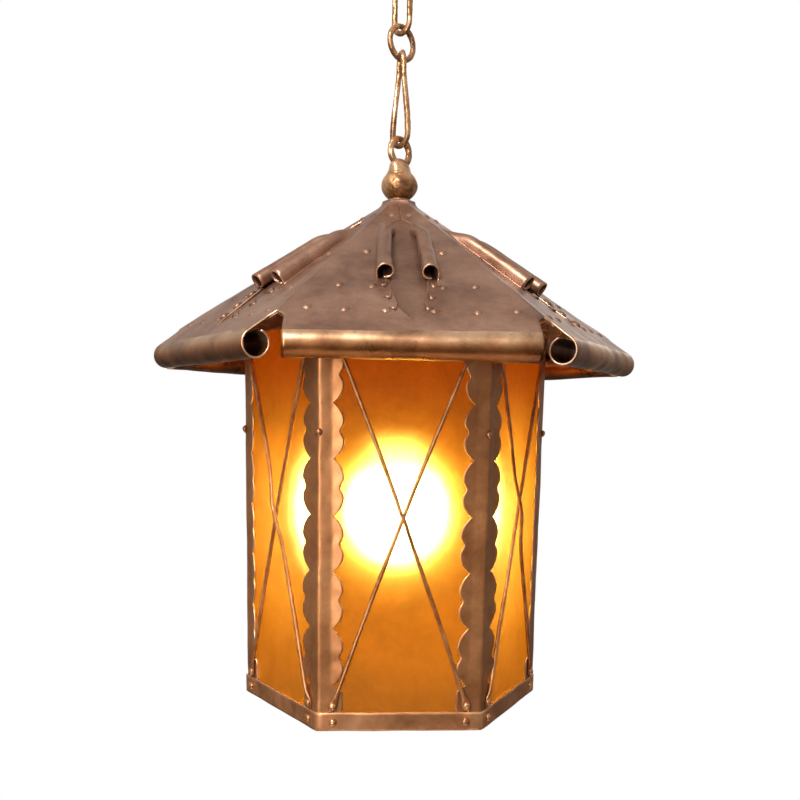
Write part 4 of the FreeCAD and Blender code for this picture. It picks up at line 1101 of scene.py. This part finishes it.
def rod_path(azimuth, lean, over, seed):
    """A rod's centre line: slightly wavy, and one of each pair steps over the other."""
    foot, head = rod_ends(lean)
    rise = head[1] - foot[1]
    path = []
    for k in range(ROD_STEPS + 1):
        share = k / ROD_STEPS
        reach = -ROD_OVERRUN + (rise + 2 * ROD_OVERRUN) * share
        height = foot[1] + reach
        line = reach / rise
        along = foot[0] + (head[0] - foot[0]) * line
        along -= lean * ROD_SWAY * math.sin(math.pi * min(1.0, max(0.0, line)))
        distance = height - ROD_CROSSING
        if over:
            lift = (2 * ROD_RADIUS + ROD_GAP) * math.exp(-(distance / (17 * MM)) ** 2)
            along += lean * 0.8 * MM * math.exp(-(distance / (7 * MM)) ** 2) * math.sin(distance / (5 * MM))
        else:
            lift = ROD_GAP * math.exp(-(distance / (20 * MM)) ** 2)
        spot = face_point(azimuth, along, height, ROD_RADIUS + ROD_SEAT + lift)
        sway = wobble(spot, 45 * MM, 0.55 * MM, seed)
        path.append(spot + sway * min(1.0, 4 * share, 4 * (1 - share)))
    return path


def rod_section(share, angle):
    """Round in the middle, hammered flat round the rivets at both ends."""
    end = min(share, 1 - share) * ROD_LENGTH
    flat = 1 - smooth_step(end, 4.5 * MM, 11 * MM)
    tip = smooth_step(end, -0.6 * MM, 2.4 * MM) ** 0.5
    wide = ROD_RADIUS + (3.1 * MM - ROD_RADIUS) * flat
    thick = ROD_RADIUS + (0.62 * MM - ROD_RADIUS) * flat
    lumps = 1 + 0.05 * noise.noise(Vector((share * 90, math.cos(angle), math.sin(angle))))
    return thick * lumps * math.cos(angle) - (ROD_RADIUS - thick), wide * tip * lumps * math.sin(angle)


def make_rods():
    for index in range(SIDES):
        azimuth = 30 + 60 * index
        normal = face_axes(azimuth)[1]
        for name, lean, over in (("rod_under", 1, False), ("rod_over", -1, True)):
            patch = Patchwork()
            path = rod_path(azimuth, lean, over, index * 3.1 + lean)
            sweep(patch, path, rod_section, spokes=12, start_normal=normal)
            rod = patch.make(f"{name}_wire_{index + 1}")
            finish_piece(rod, [f"{name}_{index + 1}"], "lantern", "rod_copper", "rod")


def rivet_group(name, spots, node_name):
    patch = Patchwork()
    for k, (spot, normal) in enumerate(spots):
        seed = k * 1.37
        radius = RIVET_RADIUS * (1 + 0.07 * math.sin(seed * 5))
        dome(patch, spot, normal, radius, RIVET_RISE * (1 + 0.1 * math.cos(seed * 3)), seed)
    finish_piece(patch.make(name), [node_name], "lantern", "rivet_copper", "rivet")


def make_rivets():
    band, rods, ridges = [], [], []
    rod_head = BODY_HEIGHT - ROD_HEAD_DROP
    for index in range(SIDES):
        azimuth = 30 + 60 * index
        normal = face_axes(azimuth)[1]
        for side in (1, -1):
            for height in (BAND_HEIGHT / 2, BODY_HEIGHT - BAND_HEIGHT / 2):
                along = inset(height, BAND_RIVET_INSET, side)
                band.append((face_point(azimuth, along, height, BAND_SHEET + 0.1 * MM), normal))
            for height, distance in ((ROD_FOOT, ROD_FOOT_INSET), (rod_head, ROD_HEAD_INSET)):
                along = inset(height, distance, side)
                rods.append((face_point(azimuth, along, height, 1.3 * MM), normal))
        outward = level_ways(math.radians(60 * index))[0]
        reach = ridge_radius(RIDGE_RIVET) - 0.5 * MM
        ridges.append((outward * reach + Vector((0, 0, RIM + RIDGE_RIVET)), outward))
    rivet_group("band_rivet_heads", band, "band_rivets")
    rivet_group("rod_rivet_heads", rods, "rod_rivets")
    rivet_group("ridge_rivet_heads", ridges, "ridge_rivets")


# ---- bulb and carried-over nodes


def make_bulb():
    """A frosted pear-shaped bulb in one smooth outline."""
    radius = (BULB_HIGH.x - BULB_LOW.x) / 2
    centre = BULB_LOW.z + radius
    profile = []
    for k in range(1, GLOBE_STEPS + 1):
        angle = -math.pi / 2 + (math.pi / 2 + 0.42) * k / GLOBE_STEPS
        profile.append((radius * math.cos(angle), centre + radius * math.sin(angle)))
    start_radius, start_height = profile[-1]
    for k in range(1, TAPER_STEPS + 1):
        share = k / TAPER_STEPS
        narrowed = (start_radius - BULB_NECK) * (0.35 * share + 0.65 * smooth_step(share, 0, 1))
        profile.append((start_radius - narrowed, start_height + (BULB_HIGH.z - start_height) * share))
    patch = Patchwork()
    lathe(patch, profile, 48)
    bulb = patch.make("bulb_envelope")
    finish_piece(bulb, ["bulb_glass", "bulb_stem", "bulb_filament"], "bulb", "bulb_glass", "bulb")


NODE_MATERIALS = {
    "roof_liner": "liner", "inner_ledge": "band", "seat_washer": "forged",
    "lamp_pipe": "steel", "roof_nut": "steel", "crossbar": "steel",
    "crossbar_nuts": "steel", "socket_cap": "brass", "socket_shell": "brass",
    "socket_screw_shell": "brass", "socket_contact": "brass", "socket_screws": "brass",
    "socket_core": "porcelain", "socket_sleeve": "fibre", "bulb_base": "brass",
    "bulb_tip": "brass",
}


def dress_nodes():
    """Give the CAD nodes that stay in view their materials."""
    for name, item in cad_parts.items():
        key = "mica" if name.startswith("mica_panel") else NODE_MATERIALS.get(name)
        if key:
            item.data.materials.clear()
            item.data.materials.append(MATERIALS[key])


# ---- stage


FLOOR_DROP = 1.0
FLOOR_REACH = 0.9
CAMERA_PLACE = Vector((-0.04396, -0.72877, 0.20726))
CAMERA_YAW = math.radians(-3.700)
CAMERA_PITCH = math.radians(1.164)
CAMERA_ROLL = math.radians(0.932)
LENS = 42.62
SENSOR = 36


def make_camera():
    data = bpy.data.cameras.new("camera")
    data.lens = LENS
    data.sensor_width = SENSOR
    data.clip_start = 0.01
    camera = bpy.data.objects.new("camera", data)
    bpy.context.scene.collection.objects.link(camera)
    upright = Matrix.Rotation(math.pi / 2 + CAMERA_PITCH, 4, "X")
    camera.matrix_world = (
        Matrix.Translation(CAMERA_PLACE + Vector((0, 0, RIM)))
        @ Matrix.Rotation(CAMERA_YAW, 4, "Z")
        @ upright
        @ Matrix.Rotation(CAMERA_ROLL, 4, "Z")
    )
    bpy.context.scene.camera = camera


def make_floor():
    spokes = 64
    centre = Vector((0, 0, RIM - FLOOR_DROP))
    x_way, y_way = level_ways(0.0)
    rows = []
    for share in (0.25, 0.5, 0.75, 1.0):
        reach = share * FLOOR_REACH
        rows.append([centre + way for way in spoke_ways(x_way * reach, y_way * reach, spokes)])
    patch = Patchwork()
    patch.grid(rows, wrap_columns=True)
    patch.cap(centre, 0, spokes, flip=True)
    floor = patch.make("floor")
    floor.data.materials.append(matte("pale_floor", (0.80, 0.79, 0.77), (0.76, 0.75, 0.73), 0.7, grain=60))


def area_light(name, place, target, size, power, colour=(1, 1, 1)):
    data = bpy.data.lights.new(name, "AREA")
    data.shape = "RECTANGLE"
    data.size = size[0]
    data.size_y = size[1]
    data.energy = power
    data.color = colour
    light = bpy.data.objects.new(name, data)
    bpy.context.scene.collection.objects.link(light)
    light.location = place
    light.rotation_euler = (Vector(target) - Vector(place)).to_track_quat("-Z", "Y").to_euler()


def make_world():
    world = bpy.data.worlds.new("studio")
    bpy.context.scene.world = world
    world.use_nodes = True
    tree = world.node_tree
    tree.nodes.clear()
    output = tree.nodes.new("ShaderNodeOutputWorld")
    backdrop = tree.nodes.new("ShaderNodeBackground")
    backdrop.inputs["Color"].default_value = (1, 1, 1, 1)
    backdrop.inputs["Strength"].default_value = 1.0
    fill = tree.nodes.new("ShaderNodeBackground")
    fill.inputs["Strength"].default_value = 0.7
    direction = tree.nodes.new("ShaderNodeTexCoord")
    split = tree.nodes.new("ShaderNodeSeparateXYZ")
    tree.links.new(direction.outputs["Generated"], split.inputs[0])
    ramp = tree.nodes.new("ShaderNodeValToRGB")
    ramp.color_ramp.elements[0].position = 0.25
    ramp.color_ramp.elements[0].color = (0.16, 0.105, 0.06, 1)
    ramp.color_ramp.elements[1].position = 0.85
    ramp.color_ramp.elements[1].color = (1.0, 0.94, 0.87, 1)
    shift = tree.nodes.new("ShaderNodeMapRange")
    shift.inputs["From Min"].default_value = -1
    shift.inputs["From Max"].default_value = 1
    tree.links.new(split.outputs["Z"], shift.inputs["Value"])
    tree.links.new(shift.outputs["Result"], ramp.inputs["Fac"])
    tree.links.new(ramp.outputs["Color"], fill.inputs["Color"])
    path = tree.nodes.new("ShaderNodeLightPath")
    mix = tree.nodes.new("ShaderNodeMixShader")
    tree.links.new(path.outputs["Is Camera Ray"], mix.inputs["Fac"])
    tree.links.new(fill.outputs[0], mix.inputs[1])
    tree.links.new(backdrop.outputs[0], mix.inputs[2])
    tree.links.new(mix.outputs[0], output.inputs["Surface"])


def make_stage():
    make_world()
    make_floor()
    middle = Vector((0, 0, RIM + BODY_HEIGHT * 0.8))
    area_light("key", (-0.65, -1.25, middle.z + 1.15), middle, (0.5, 0.5), 46, (1.0, 0.95, 0.88))
    area_light("side", (-0.80, -1.45, middle.z - 0.05), middle, (0.35, 1.0), 17, (1.0, 0.93, 0.84))
    area_light("fill", (1.5, -1.2, middle.z + 0.3), middle, (1.0, 1.2), 2, (1.0, 0.97, 0.94))
    area_light("back", (0.5, 1.6, middle.z + 0.6), middle, (1.2, 1.0), 3)
    bpy.context.scene.view_settings.view_transform = "Standard"
    bpy.context.scene.view_settings.look = "None"


# ---- the whole


for panel_index in range(SIDES):
    make_roof_panel(panel_index)
    make_corner_angle(panel_index)
make_band("bottom_band", 0.0, BAND_HEIGHT)
make_band("top_band", BODY_HEIGHT - BAND_HEIGHT, BODY_HEIGHT)
make_chain()
make_finial()
make_rods()
make_rivets()
make_bulb()
dress_nodes()
make_stage()
make_camera()
